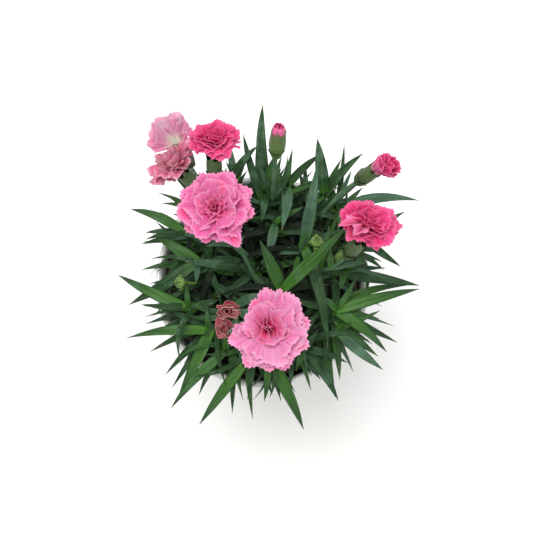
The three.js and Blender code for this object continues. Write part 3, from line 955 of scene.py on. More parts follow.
@dataclass
class Soil:
    """Potting soil with a crumbly surface, loose crumbs and a little perlite."""

    bottom: float = 8.4
    foot_radius: float = 36.2
    top_radius: float = 55.0
    brim: float = 105.2
    rings: int = 26
    sides: int = 96
    crumbs: int = 260
    crumb_sizes: Pair = (0.6, 1.6)
    pearls: int = 26
    pearl_sizes: Pair = (0.5, 1.0)
    sink: float = 1.2
    swell_height: float = 0.5
    lump_height: float = 0.5
    grain_height: float = 0.35
    margin: float = 2.0
    seed: int = 11

    def surface(self, x: np.ndarray, y: np.ndarray) -> np.ndarray:
        """Works out the surface, with its lumps and hollows.

        Args:
            x: How far to the right the places lie.
            y: How far to the back they lie.

        Returns:
            The height of the surface at each place.
        """
        broad = np.sin(x * 0.21 + 0.7) * np.cos(y * 0.17 - 0.4)
        lumps = np.sin(x * 0.83 + 1.3 * np.sin(y * 0.6)) * np.cos(y * 0.77 + 0.9 * np.sin(x * 0.5))
        fine = np.sin(x * 2.1 + 2.0 * np.sin(y * 1.3)) * np.cos(y * 1.9)
        level = SOIL_TOP - self.sink + self.swell_height * broad
        return level + self.lump_height * lumps + self.grain_height * fine

    def build(self) -> None:
        """Builds the body of the soil and strews its crumbs."""
        finish = SoilFinish().material()
        profile = [(self.foot_radius - 4.0, self.bottom), (self.foot_radius, self.bottom + 0.5)]
        profile.append((self.top_radius, self.brim))
        for ring in range(self.rings):
            profile.append((self.top_radius * (1.0 - (ring + 0.5) / self.rings), SOIL_TOP))
        placed = [(radius * MM, height * MM) for radius, height in profile]
        body = Bench.turned("potting_soil_body", placed, self.sides)
        points = Bench.points(body) / MM
        lid = points[:, 2] > SOIL_TOP - 0.5
        points[lid, 2] = self.surface(points[lid, 0], points[lid, 1])
        body.data.vertices.foreach_set("co", np.ascontiguousarray(points * MM, np.float32).ravel())
        Bench.shade(body, 60.0)
        Bench.finish(body, "potting_soil", finish, "soil")
        self.strew("soil_crumbs", self.crumbs, self.crumb_sizes, finish)
        pearl = PlasticFinish(name="perlite", dark="#b9b3a8", dust="#d8d4cc").material()
        self.strew("perlite_grains", self.pearls, self.pearl_sizes, pearl)

    def strew(self, name: str, count: int, sizes: Pair, finish: Material) -> None:
        """Lays grains of one kind on the surface.

        Args:
            name: The name of the grains as one piece.
            count: How many there are.
            sizes: Their smallest and largest radius.
            finish: Their finish.
        """
        luck = np.random.default_rng(self.seed + count)
        bpy.ops.object.select_all(action="DESELECT")
        bpy.ops.mesh.primitive_ico_sphere_add(subdivisions=1, radius=1.0)
        blank = Bench.added("grain_blank")
        shape = Bench.points(blank)
        grains = []
        for _ in range(count):
            reach = (self.top_radius - self.margin) * math.sqrt(luck.uniform())
            centre = reach * heading_of(luck.uniform(0.0, 360.0))
            radius = luck.uniform(*sizes)
            centre[2] = self.surface(centre[0], centre[1]) + 0.2 * radius
            squeeze = luck.uniform(0.7, 1.2, 3)
            dents = luck.uniform(0.8, 1.15, (len(shape), 1))
            grains.append(Bench.copied(blank, centre + shape * squeeze * dents * radius, {}))
        bpy.data.objects.remove(blank)
        piece = Bench.joined(name, grains)
        Bench.shade(piece, 50.0)
        Bench.finish(piece, "potting_soil", finish)


# ---------------------------------------------------------------- stems and leaves


@dataclass
class RodBlank:
    """A straight stem of unit size, which is modelled once and laid along curves."""

    stations: int = 30
    sides: int = 8
    swelling: float = 0.35
    joint_length: float = 0.025
    foot_girth: float = 1.08
    thinning: float = 0.16
    piece: Piece = field(init=False)
    shape: np.ndarray = field(init=False)

    def __post_init__(self) -> None:
        """Models the blank."""
        profile = [(1.0, station / self.stations) for station in range(self.stations + 1)]
        self.piece = Bench.turned("rod_blank", profile, self.sides)
        self.shape = Bench.points(self.piece)
        Bench.mark(self.piece, "along", self.shape[:, 2])
        Bench.mark(self.piece, "across", 0.0)
        Bench.mark(self.piece, "tone", 0.5)
        Bench.mark(self.piece, "chance", 0.0)
        Bench.shade(self.piece, 50.0)

    def laid(self, path: Path, radius: float, joints: Sequence[float]) -> Piece:
        """Lays a copy along a curve, with a swelling at each joint of the stem.

        Args:
            path: The curve.
            radius: The stem's radius.
            joints: Shares of the curve where leaves grow.

        Returns:
            The stem.
        """
        along = self.shape[:, 2]
        heading = path.heading(along)
        side = unit(np.cross(heading, CROSSWISE))
        front = np.cross(heading, side)
        swell = np.ones_like(along)
        for joint in joints:
            swell += self.swelling * np.exp(-(((along - joint) / self.joint_length) ** 2))
        reach = radius * (self.foot_girth - self.thinning * along) * swell
        places = path.at(along)
        places = places + side * (self.shape[:, 0] * reach)[:, None]
        places = places + front * (self.shape[:, 1] * reach)[:, None]
        return Bench.copied(self.piece, places, {})


@dataclass(frozen=True)
class Leaf:
    """One narrow leaf: where it sets out, how it is turned, its tip, width and tone.

    The arch is how high its middle rises as a share of its level reach, the channel how far its
    sides stand up as a share of half its width, and the chance varies its finish.
    """

    start: np.ndarray
    turn: float
    tip: np.ndarray
    width: float
    tone: Tone
    arch: float = 0.16
    channel: float = 0.25
    sway: float = 0.0
    twist: float = 0.0
    chance: float = 0.5


@dataclass
class LeafBlank:
    """A blade of unit size, which is modelled once and laid along every leaf's arch.

    The hold is how long the full width is held, and the base and blunt are the widths of the
    clasping base and of the tip, as shares of the full width.
    """

    stations: int = 10
    sides: int = 8
    crowding: float = 1.25
    thickness: float = 0.75
    thinning: float = 0.6
    slim: float = 0.95
    widest: float = 0.36
    base: float = 0.6
    hold: float = 2.5
    point: float = 0.95
    blunt: float = 0.05
    piece: Piece = field(init=False)
    shape: np.ndarray = field(init=False)

    def __post_init__(self) -> None:
        """Models the blank, with its stations closer together towards the point."""
        left = [1.0 - station / self.stations for station in range(self.stations + 1)]
        profile = [(1.0, 1.0 - share**self.crowding) for share in left]
        self.piece = Bench.turned("leaf_blank", profile, self.sides)
        self.shape = Bench.points(self.piece)
        Bench.mark(self.piece, "along", self.shape[:, 2])
        Bench.mark(self.piece, "across", self.shape[:, 0])
        Bench.shade(self.piece, 60.0)

    def half_width(self, along: np.ndarray, width: float) -> np.ndarray:
        """Works out the outline: a clasping base, a full middle and a long point.

        Args:
            along: Shares of the leaf's length.
            width: Its full width.

        Returns:
            Half the width at each share.
        """
        opening = np.sin(np.pi / 2 * np.minimum(1.0, along / self.widest))
        swell = self.base + (1.0 - self.base) * opening
        taper = (1.0 - np.clip(along, 0.0, 1.0) ** self.hold) ** self.point
        return self.slim * width / 2 * np.maximum(swell * taper, self.blunt)

    def laid(self, leaf: Leaf) -> Piece:
        """Lays a copy of the blade as one leaf.

        Args:
            leaf: The leaf's place and shape.

        Returns:
            The leaf, marked for its finish.
        """
        outwards = heading_of(leaf.turn)
        sideways = np.array([-outwards[1], outwards[0], 0.0])
        reach = np.linalg.norm((leaf.tip - leaf.start)[:2])
        middle = (leaf.start + leaf.tip) / 2 + UP * 2 * leaf.arch * reach
        path = Path((leaf.start, middle, leaf.tip))
        along = self.shape[:, 2]
        heading = path.heading(along)
        level = unit(sideways - heading * (heading @ sideways)[:, None])
        above = np.cross(heading, level)
        roll = np.radians(leaf.twist) * along
        side = level * np.cos(roll)[:, None] + above * np.sin(roll)[:, None]
        face = above * np.cos(roll)[:, None] - level * np.sin(roll)[:, None]
        half = self.half_width(along, leaf.width)
        across = self.shape[:, 0]
        body = self.thickness / 2 * self.shape[:, 1] * (1.0 - self.thinning * along)
        lift = body + leaf.channel * half * across**2
        drift = leaf.sway * np.sin(np.pi * along)
        places = path.at(along)
        places = places + side * (across * half)[:, None] + face * lift[:, None]
        places = places + level * drift[:, None]
        return Bench.copied(self.piece, places, {"tone": leaf.tone.value, "chance": leaf.chance})


def settled_tip(node: str, start: np.ndarray, row: LeafRow) -> np.ndarray:
    """Finds where a planned leaf ends in the frame, where it may have been moved a little.

    Args:
        node: The frame's node that holds the leaf.
        start: Where the leaf sets out.
        row: Its place, turn, reach, rise and width.

    Returns:
        The leaf's tip.
    """
    reach_slack, turn_slack, rise_slack, tip_size = 0.8, 11.0, 16.0, 0.7
    _, turn, reach, rise, _ = row
    planned = start + reach * heading_of(turn) + rise * UP
    points = Bench.points(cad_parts[node]) / MM
    apart = points - start
    level = np.hypot(apart[:, 0], apart[:, 1])
    angle = np.degrees(np.arctan2(apart[:, 1], apart[:, 0]))
    swing = np.abs((angle - turn + 180.0) % 360.0 - 180.0)
    close = (np.abs(level - reach) < reach_slack) & (swing < turn_slack)
    close = close & (np.abs(apart[:, 2] - rise) < rise_slack)
    if not close.any():
        return planned
    found = points[close]
    nearest = found[np.argmin(np.linalg.norm(found - planned, axis=1))]
    return found[np.linalg.norm(found - nearest, axis=1) < tip_size].mean(axis=0)


@dataclass(frozen=True)
class Growth:
    """How a shoot or flower stem grows.

    Attributes:
        foot: Where it stands in the soil.
        top: Where its curve ends.
        tones: A letter for each planned leaf's green: d is dark, g is grey and b is bright.
        rows: The planned leaves: share of the stem, turn, reach, rise and width.
    """

    foot: Pair
    top: Triple
    tones: str
    rows: tuple[LeafRow, ...]

    def joints(self) -> list[float]:
        """Lists the shares of the stem where leaves grow."""
        return sorted({row[0] for row in self.rows})


def planned_leaves(
    node: str, growth: Growth, path: Path, luck: Luck, sway: float, twist: float
) -> list[Leaf]:
    """Lays out the planned leaves of a shoot or flower stem.

    Args:
        node: The frame's node that holds them.
        growth: The plan.
        path: The stem's curve.
        luck: The draw of small differences.
        sway: The most that a leaf's middle drifts sideways, as a share of its reach.
        twist: The most that its tip is twisted.

    Returns:
        The leaves.
    """
    leaves = []
    for letter, row in zip(growth.tones, growth.rows):
        place, _, reach, _, width = row
        start = path.at(place)
        tip = settled_tip(node, start, row)
        apart = tip - start
        leaves.append(Leaf(
            start,
            math.degrees(math.atan2(apart[1], apart[0])),
            tip,
            width,
            TONE_LETTERS[letter],
            sway=luck.uniform(-sway, sway) * reach,
            twist=luck.uniform(-twist, twist),
            chance=luck.uniform(),
        ))
    return leaves


@dataclass
class Shoot:
    """A leafy shoot: a stem, its planned leaves, and the lower leaves that fill it out.

    Lower leaves are trimmed where they would pass the spread, measured from the pot's axis. Most
    that end nearer to the axis than the shaded radius take a near-black green, which is painted
    shade, and a fresh share of the others is bright. A pair of numbers is the smallest and largest
    of what it names.
    """

    name: str
    growth: Growth
    seed: int
    stem_radius: float = 1.5
    sway: float = 0.05
    twist: float = 40.0
    pairs: int = 7
    lowest: float = 0.1
    storey: float = 0.75
    filler_reach: Pair = (24.0, 46.0)
    filler_width: Pair = (3.2, 5.8)
    shortest: float = 8.0
    trim: float = 2.0
    spread: float = 77.0
    shaded: float = 56.0
    fresh: float = 0.24
    tuft_place: float = 0.98
    tuft_reach: Pair = (2.0, 7.0)
    tuft_rise: Pair = (8.0, 15.0)
    tuft_width: Pair = (2.4, 3.4)

    def filler_tone(self, tip: np.ndarray, share: float, luck: Luck) -> Tone:
        """Chooses the green of a lower leaf.

        Args:
            tip: The leaf's tip; most leaves that end inside the plant take the near-black green of
                painted shade.
            share: How high it grows on the shoot, from 0 to 1.
            luck: The draw of small differences.

        Returns:
            Its tone.
        """
        # painted shade: most lower leaves that end inside the plant take the near-black green
        if np.linalg.norm(tip[:2]) < self.shaded and luck.uniform() < 1.0 - 0.4 * share:
            return Tone.PAINTED_SHADE
        draw = luck.uniform()
        if draw < self.fresh:
            return Tone.BRIGHT
        return Tone.GREY if draw > 1.0 - self.fresh / 2 else Tone.DARK

    def fillers(self, path: Path, luck: Luck) -> list[Leaf]:
        """Lays out pairs of lower leaves, trimmed to keep them inside the plant's outline.

        Args:
            path: The stem's curve.
            luck: The draw of small differences.

        Returns:
            The leaves.
        """
        leaves = []
        for pair in range(self.pairs):
            share = pair / (self.pairs - 1)
            start = path.at(self.lowest + self.storey * share)
            first = 90.0 * pair + luck.uniform(-30.0, 30.0)
            for turn in (first, first + 180.0):
                reach = luck.uniform(*self.filler_reach)
                outwards = heading_of(turn)
                while (
                    np.linalg.norm((start + reach * outwards)[:2]) > self.spread
                    and reach > self.shortest
                ):
                    reach -= self.trim
                tip = start + reach * outwards + luck.uniform(-0.1, 0.3) * reach * UP
                leaves.append(Leaf(
                    start,
                    turn,
                    tip,
                    luck.uniform(*self.filler_width),
                    self.filler_tone(tip, share, luck),
                    arch=luck.uniform(0.1, 0.26),
                    sway=luck.uniform(-0.2, 0.2) * reach,
                    twist=luck.uniform(-55.0, 55.0),
                    chance=luck.uniform(0.0, 0.8),
                ))
        return leaves

    def tuft(self, path: Path, luck: Luck) -> list[Leaf]:
        """Lays out the short young leaves that stand at the shoot's top.

        Args:
            path: The stem's curve.
            luck: The draw of small differences.

        Returns:
            The leaves.
        """
        leaves = []
        start = path.at(self.tuft_place)
        first = luck.uniform(0.0, 90.0)
        for turn in (first, first + 180.0):
            reach = luck.uniform(*self.tuft_reach)
            tip = start + reach * heading_of(turn) + luck.uniform(*self.tuft_rise) * UP
            leaves.append(Leaf(
                start,
                turn,
                tip,
                luck.uniform(*self.tuft_width),
                TONE_LETTERS[self.growth.tones[0]],
                arch=-0.1,
                twist=luck.uniform(-20.0, 20.0),
                chance=luck.uniform(0.0, 0.6),
            ))
        return leaves

    def build(self, rod: RodBlank, blade: LeafBlank, material: Material) -> None:
        """Grows the shoot as one piece.

        Args:
            rod: The stem of unit size.
            blade: The leaf of unit size.
            material: The finish of the whole.
        """
        luck = np.random.default_rng(self.seed)
        path = shoot_path(self.growth.foot, self.growth.top)
        parts = [rod.laid(path, self.stem_radius, self.growth.joints())]
        leaves = planned_leaves(self.name, self.growth, path, luck, self.sway, self.twist)
        leaves += self.fillers(path, luck)
        leaves += self.tuft(path, luck)
        parts += [blade.laid(leaf) for leaf in leaves]
        piece = Bench.joined(self.name.replace("shoot", "leafy_shoot"), parts)
        Bench.finish(piece, "leaf", material, self.name)


SHOOTS = {
    "shoot_east": Growth((27, -13), (45, -22, 140), "bbbbdgbbd", (
        (1, 16, 54, -8, 8), (0.85, 18, 54, -12, 6), (0.95, -36, 41, -15, 8),
        (0.75, -40, 44, -19, 8), (0.6, -23, 53, -17, 7), (0.7, -13, 45, -14, 4),
        (1, 58, 24, 10, 4), (1, 146, 11, 18, 5), (0.55, -141, 13, 1, 6),
    )),
    "shoot_east_inner": Growth((30, 2), (50, 3, 142), "dbdbdd", (
        (0.8, -7, 54, -12, 9), (1, 28, 14, 10, 5), (0.9, -149, 16, 11, 5), (1, -103, 16, 16, 5),
        (0.6, 83, 27, -4, 6), (0.5, 9, 41, -12, 6),
    )),
    "shoot_south_east": Growth((29, -22), (47, -35, 134), "ggbbbd", (
        (1, -37, 34, -16, 8), (0.8, -60, 29, -16, 4), (0.9, -83, 29, -14, 6),
        (0.7, -82, 43, -19, 6), (1, 33, 8, 18, 4), (0.6, -20, 34, -13, 5),
    )),
    "shoot_south_south_east": Growth((15, -28), (25, -47, 136), "dgdddb", (
        (0.8, -53, 41, -17, 8), (0.7, -56, 28, -17, 6), (0.9, -16, 30, -8, 6),
        (1, 54, 14, 16, 5), (0.6, -94, 30, -16, 6), (1, -110, 14, 14, 5),
    )),
    "shoot_south": Growth((2, -32), (3, -53, 136), "bbdbdd", (
        (0.95, -61, 46, -23, 9), (0.7, -55, 31, -13, 5), (0.6, -75, 35, -20, 6),
        (0.8, -93, 30, -13, 6), (1, 112, 9, 19, 5), (1, 34, 9, 19, 5),
    )),
    "shoot_south_south_west": Growth((-6, -32), (-10, -53, 140), "bbdbg", (
        (1, -128, 46, -20, 8), (0.8, -86, 39, -27, 5), (0.6, -66, 34, -3, 6),
        (0.9, 136, 12, 13, 5), (0.6, -118, 37, -21, 6),
    )),
    "shoot_south_west_low": Growth((-14, -29), (-22, -47, 136), "dbbbdd", (
        (0.7, -86, 44, -23, 6), (0.95, -143, 49, -17, 7), (0.8, -124, 35, -19, 6),
        (1, 89, 12, 16, 5), (0.5, -132, 29, -11, 6), (0.8, -3, 10, 7, 5),
    )),
    "shoot_south_west": Growth((-20, -21), (-33, -34, 140), "bbddbdd", (
        (1, -176, 50, -10, 8), (0.9, -117, 45, -17, 9), (0.7, -138, 44, -20, 6),
        (0.6, -128, 50, -23, 6), (1, 94, 13, 12, 4), (0.5, -158, 50, -15, 6),
        (0.7, -46, 12, -4, 6),
    )),
    "shoot_west": Growth((-27, -12), (-45, -21, 142), "bddbdd", (
        (1, 153, 49, -10, 8), (0.7, 178, 38, -15, 5), (0.6, -165, 40, -18, 6),
        (1, 94, 13, 14, 4), (0.8, 13, 13, 4, 6), (0.5, -153, 36, -18, 5),
    )),
    "shoot_west_upper": Growth((-24, 4), (-40, 7, 144), "dbbgdd", (
        (1, -153, 48, -26, 9), (0.7, 178, 42, -17, 6), (0.9, 146, 36, -9, 9), (1, -90, 14, 8, 5),
        (0.8, -8, 11, 8, 6), (0.5, -171, 42, -17, 6),
    )),
    "shoot_west_north_west": Growth((-30, 17), (-48, 27, 138), "bdbddd", (
        (0.7, 180, 35, -8, 6), (0.8, 170, 31, -7, 6), (1, 155, 37, -6, 7), (0.9, 141, 23, 2, 5),
        (1, -35, 17, 12, 5), (0.5, -168, 19, -8, 5),
    )),
    "shoot_north_west": Growth((-25, 28), (-41, 44, 140), "bbdddd", (
        (0.8, 162, 29, -9, 5), (0.6, 147, 41, -13, 4), (1, 107, 27, -6, 6), (0.8, 94, 21, -3, 6),
        (1, -38, 15, 16, 5), (0.5, 159, 29, -11, 5),
    )),
    "shoot_north_north_west": Growth((-12, 37), (-19, 59, 142), "ddbbdd", (
        (1, 52, 26, 6, 6), (0.8, 98, 35, -6, 6), (0.9, 65, 20, 1, 6), (0.6, 115, 37, -12, 6),
        (1, -77, 18, 14, 5), (0.6, 59, 21, -6, 5),
    )),
    "shoot_north": Growth((-2, 31), (2, 51, 144), "ddbbdd", (
        (1, 92, 52, 14, 8), (0.8, 106, 46, -2, 6), (0.9, 77, 22, 17, 6), (0.6, 95, 45, -13, 5),
        (1, -96, 22, 16, 6), (0.6, 66, 36, -9, 5),
    )),
    "shoot_north_north_east": Growth((14, 30), (15, 55, 142), "ddbgdd", (
        (1, 44, 29, 0, 6), (0.8, 41, 20, -2, 6), (0.6, 84, 44, -12, 5), (1, -96, 32, 24, 8),
        (0.8, 121, 25, -8, 5), (0.6, 45, 18, -10, 5),
    )),
    "shoot_north_east": Growth((23, 30), (38, 49, 144), "dbddbb", (
        (1, 98, 32, 14, 9), (0.8, 63, 34, 0, 5), (0.9, 37, 38, -5, 7), (0.7, 107, 28, -7, 6),
        (1, -129, 19, 14, 5), (0.5, 56, 38, -11, 5),
    )),
    "shoot_east_north_east": Growth((32, 27), (51, 43, 142), "gdbbbb", (
        (1, 6, 46, -8, 8), (0.8, 83, 46, 0, 4), (0.7, 48, 31, -9, 5), (0.9, 118, 14, 3, 5),
        (1, -105, 20, 14, 5), (0.6, 12, 29, -12, 6),
    )),
    "shoot_east_upper": Growth((38, 15), (61, 24, 138), "bddbdd", (
        (0.9, 33, 38, -12, 6), (1, -31, 29, -18, 6), (0.7, -4, 23, -12, 7), (1, 136, 11, 16, 5),
        (0.8, -106, 11, 9, 5), (0.6, 43, 29, -13, 5),
    )),
    "shoot_heart_east": Growth((18, 11), (25, 16, 150), "ggdddd", (
        (1, 80, 43, 40, 9), (0.8, -165, 13, 7, 6), (0.7, 27, 21, 3, 8), (1, -75, 64, 0, 9),
        (0.5, -80, 18, -3, 6), (0.6, -12, 19, -1, 5),
    )),
    "shoot_heart_south": Growth((9, -7), (12, -11, 152), "bbddd", (
        (1, 40, 49, 36, 9), (0.9, 119, 27, 37, 9), (0.7, -42, 16, -1, 6), (0.6, 148, 17, 0, 6),
        (0.8, 21, 26, -5, 6),
    )),
    "shoot_heart_west": Growth((-3, 4), (-4, 5, 138), "ddgdd", (
        (1, 178, 43, 8, 9), (0.8, 139, 25, 11, 6), (0.7, 30, 12, 18, 6), (0.6, -128, 17, 3, 6),
        (0.9, -140, 27, 2, 6),
    )),
    "shoot_heart_north": Growth((6, 22), (8, 31, 150), "bddgdd", (
        (1, 23, 18, 16, 5), (0.8, -10, 34, 1, 8), (0.7, 143, 18, 1, 6), (0.9, -102, 21, 3, 7),
        (0.6, 66, 25, -5, 6), (0.5, 172, 11, -7, 6),
    )),
    "shoot_heart_south_west": Growth((-11, -14), (-16, -19, 142), "gdddd", (
        (1, 10, 16, 26, 7), (0.8, 143, 25, 2, 6), (0.7, -154, 18, -5, 6), (0.9, -60, 18, 1, 6),
        (0.6, 110, 17, -4, 6),
    )),
}


# ---------------------------------------------------------------- flowers


@dataclass(frozen=True)
class Head:
    """Where a flower stands: the foot of its calyx, its axis and its calyx's length."""

    foot: Triple
    facing: Triple
    length: float

    def axes(self) -> np.ndarray:
        """Works out how the flower is turned.

        Returns:
            Three unit rows: two across the flower, the third along its axis.
        """
        axis = unit(np.array(self.facing, float))
        side = unit(np.cross(np.array([0.0, 1.0, 0.0]), axis))
        return np.array([side, np.cross(axis, side), axis])

    def placed(self, local: np.ndarray) -> np.ndarray:
        """Moves points from the flower's own place, with its calyx foot at zero, to the plant's."""
        return np.array(self.foot) + local @ self.axes()


@dataclass(frozen=True)
class Calyx:
    """A ribbed green tube with five teeth, clasped by small bracts at its foot.

    Attributes:
        scale: Thickness of the whole, as a share of a large flower's.
        belly: Radius at the widest place.
        mouth: Radius where the teeth begin.
        throat: Share of the length where they begin.
        flare: How far their tips stand out, or in if it is below zero.
        stretch: How far the teeth reach, as a share of the head's calyx length.
        stalk: Radius at the very foot.
        shoulder: Radius where the foot's rounding ends.
        rounding: Share of the length that the rounding takes.
        slimmest: The least radius.
        teeth: How many teeth there are.
        cleft: How deep the clefts between them are, as a share of a tooth.
        ribs: How many ribs there are.
        rib_height: Their height, as a share of the radius.
        bracts: How many bracts there are.
        bract_length: Length of the longer ones.
    """

    scale: float = 1.0
    belly: float = 4.6
    mouth: float = 4.3
    throat: float = 0.8
    flare: float = 0.5
    stretch: float = 1.0
    stalk: float = 1.2
    shoulder: float = 2.9
    rounding: float = 0.12
    slimmest: float = 0.15
    teeth: int = 5
    cleft: float = 0.86
    ribs: int = 20
    rib_height: float = 0.012
    bracts: int = 4
    bract_length: float = 7.0

    def toothed(self, along: np.ndarray) -> np.ndarray:
        """How far up the teeth shares of the tube's length lie, from 0 to 1."""
        return np.clip((along - self.throat) / (1.0 - self.throat), 0.0, 1.0)

    def radius(self, along: np.ndarray) -> np.ndarray:
        """Works out the tube's outline.

        Args:
            along: Shares of its length.

        Returns:
            Its radius at each share.
        """
        foot = np.clip(along / self.rounding, 0.0, 1.0)
        rise = np.sqrt(foot * (2.0 - foot))
        swell = self.shoulder + (self.belly - self.shoulder) * smooth(along, 0.05, 0.4)
        neck = (self.mouth - self.belly) * smooth(along, 0.5, self.throat)
        outline = self.stalk + (swell - self.stalk) * rise + neck + self.flare * self.toothed(along)
        return np.maximum(outline, self.slimmest) * self.scale

    def build(self, name: str, head: Head, blank: "CalyxBlank") -> Piece:
        """Builds the tube and its bracts on a flower head.

        Args:
            name: The piece's name.
            head: Where the flower stands.
            blank: The tube and bract of unit size.

        Returns:
            The piece, not yet painted.
        """
        shape = blank.shape
        turn = np.arctan2(shape[:, 1], shape[:, 0])
        along = shape[:, 2]
        saw = np.abs((turn / (2 * np.pi) * self.teeth) % 1.0 - 0.5) * 2.0
        tooth = 1.0 - self.cleft * saw * self.toothed(along)
        cut = self.throat + (along - self.throat) * tooth
        height = np.where(along > self.throat, cut, along)
        ribbed = 1.0 + self.rib_height * np.cos(self.ribs * turn) * smooth(along, 0.05, 0.2)
        reach = self.radius(height) * ribbed
        rise = height * head.length * self.stretch
        local = np.stack([reach * np.cos(turn), reach * np.sin(turn), rise], axis=1)
        marks = {"along": height, "across": turn / (2 * np.pi)}
        parts = [Bench.copied(blank.tube, head.placed(local), marks)]
        Bench.apply(parts[0], "SOLIDIFY", thickness=blank.wall * MM, offset=-1.0)
        for bract in range(self.bracts):
            parts.append(self._bract(bract, head, blank))
        piece = Bench.joined(name, parts)
        Bench.shade(piece, 60.0)
        return piece

    def _bract(self, number: int, head: Head, blank: "CalyxBlank") -> Piece:
        """Wraps one small scale round the foot of the tube.

        Args:
            number: Which one it is; the odd ones are longer and lie outside.
            head: Where the flower stands.
            blank: The tube and bract of unit size.

        Returns:
            The bract.
        """
        foot, shorter, half_width, sharpest = 0.4, 0.82, 2.9, 0.04
        gap, half_thickness, overlap, flare = 0.35, 0.25, 0.25, 0.5
        outer = number % 2
        across, thick, along = blank.scale_shape.T
        length = self.bract_length * self.scale * (1.0 if outer else shorter)
        height = foot + along * length
        tube = self.radius(height / (head.length * self.stretch))
        outline = np.sin(np.pi * (0.25 + 0.75 * along)) ** 0.8
        half = half_width * self.scale * np.maximum(outline, sharpest)
        out = tube + gap + half_thickness * thick + overlap * outer
        out = out + flare * smooth(along, 0.7, 1.0)
        turn = 2 * np.pi * number / self.bracts + across * half / np.maximum(tube, 2.0)
        local = np.stack([out * np.cos(turn), out * np.sin(turn), height], axis=1)
        marks = {"along": 0.15 + 0.8 * along, "across": 0.1 * across}
        return Bench.copied(blank.bract, head.placed(local), marks)


@dataclass
class CalyxBlank:
    """The open tube and the small scale of unit size, modelled once for all calyxes."""

    sides: int = 40
    stations: int = 16
    wall: float = 0.35
    bract_sides: int = 8
    bract_stations: int = 7
    tube: Piece = field(init=False)
    shape: np.ndarray = field(init=False)
    bract: Piece = field(init=False)
    scale_shape: np.ndarray = field(init=False)

    def __post_init__(self) -> None:
        """Models both blanks."""
        profile = [(1.0, station / self.stations) for station in range(self.stations + 1)]
        self.tube = Bench.turned("tube_blank", profile, self.sides, closed=False)
        self.shape = Bench.points(self.tube)
        stations = self.bract_stations
        profile = [(1.0, station / stations) for station in range(stations + 1)]
        self.bract = Bench.turned("bract_blank", profile, self.bract_sides)
        self.scale_shape = Bench.points(self.bract)


@dataclass(frozen=True)
class Whorl:
    """One ring of petals, or a single petal of its own.

    Attributes:
        count: How many petals it has.
        length: Their length.
        fan: Half the angle that a petal spreads over.
        lean: From the flower's axis to the petal's blade.
        ruffle: Height of its waves.
        depth: How much of the heart's painted shade it takes, from 0 to 1.
        start: Where the first petal stands.
        arc: How much of a circle the ring takes up.
        curl: How much further the outer part bends.
        fold: How steeply its sides fold up.
        teeth: Depth of the nicks in its edge.
        spread: The most that a petal's lean differs.
        wrap: How far it wraps round the axis, from 0, flat, to 1.
        base: Its foot's distance from the axis.
        uneven: The most that its length differs, as a share.
        jitter: The most that its place in the ring differs.
        pale: How pale it is, from 0 to 1.
        skew: How far its blade turns aside.
        point: How pointed it ends, from 0 to 1.
        shares: Lengths of the petals in turn, as shares of the length.
    """

    count: int
    length: float
    fan: float
    lean: float
    ruffle: float
    depth: float
    start: float = 0.0
    arc: float = 360.0
    curl: float = 0.0
    fold: float = 0.0
    teeth: float = 1.0
    spread: float = 5.0
    wrap: float = 0.0
    base: float = 1.3
    uneven: float = 0.07
    jitter: float = 7.0
    pale: float = 0.0
    skew: float = 0.0
    point: float = 0.0
    shares: tuple[float, ...] = (1.0,)


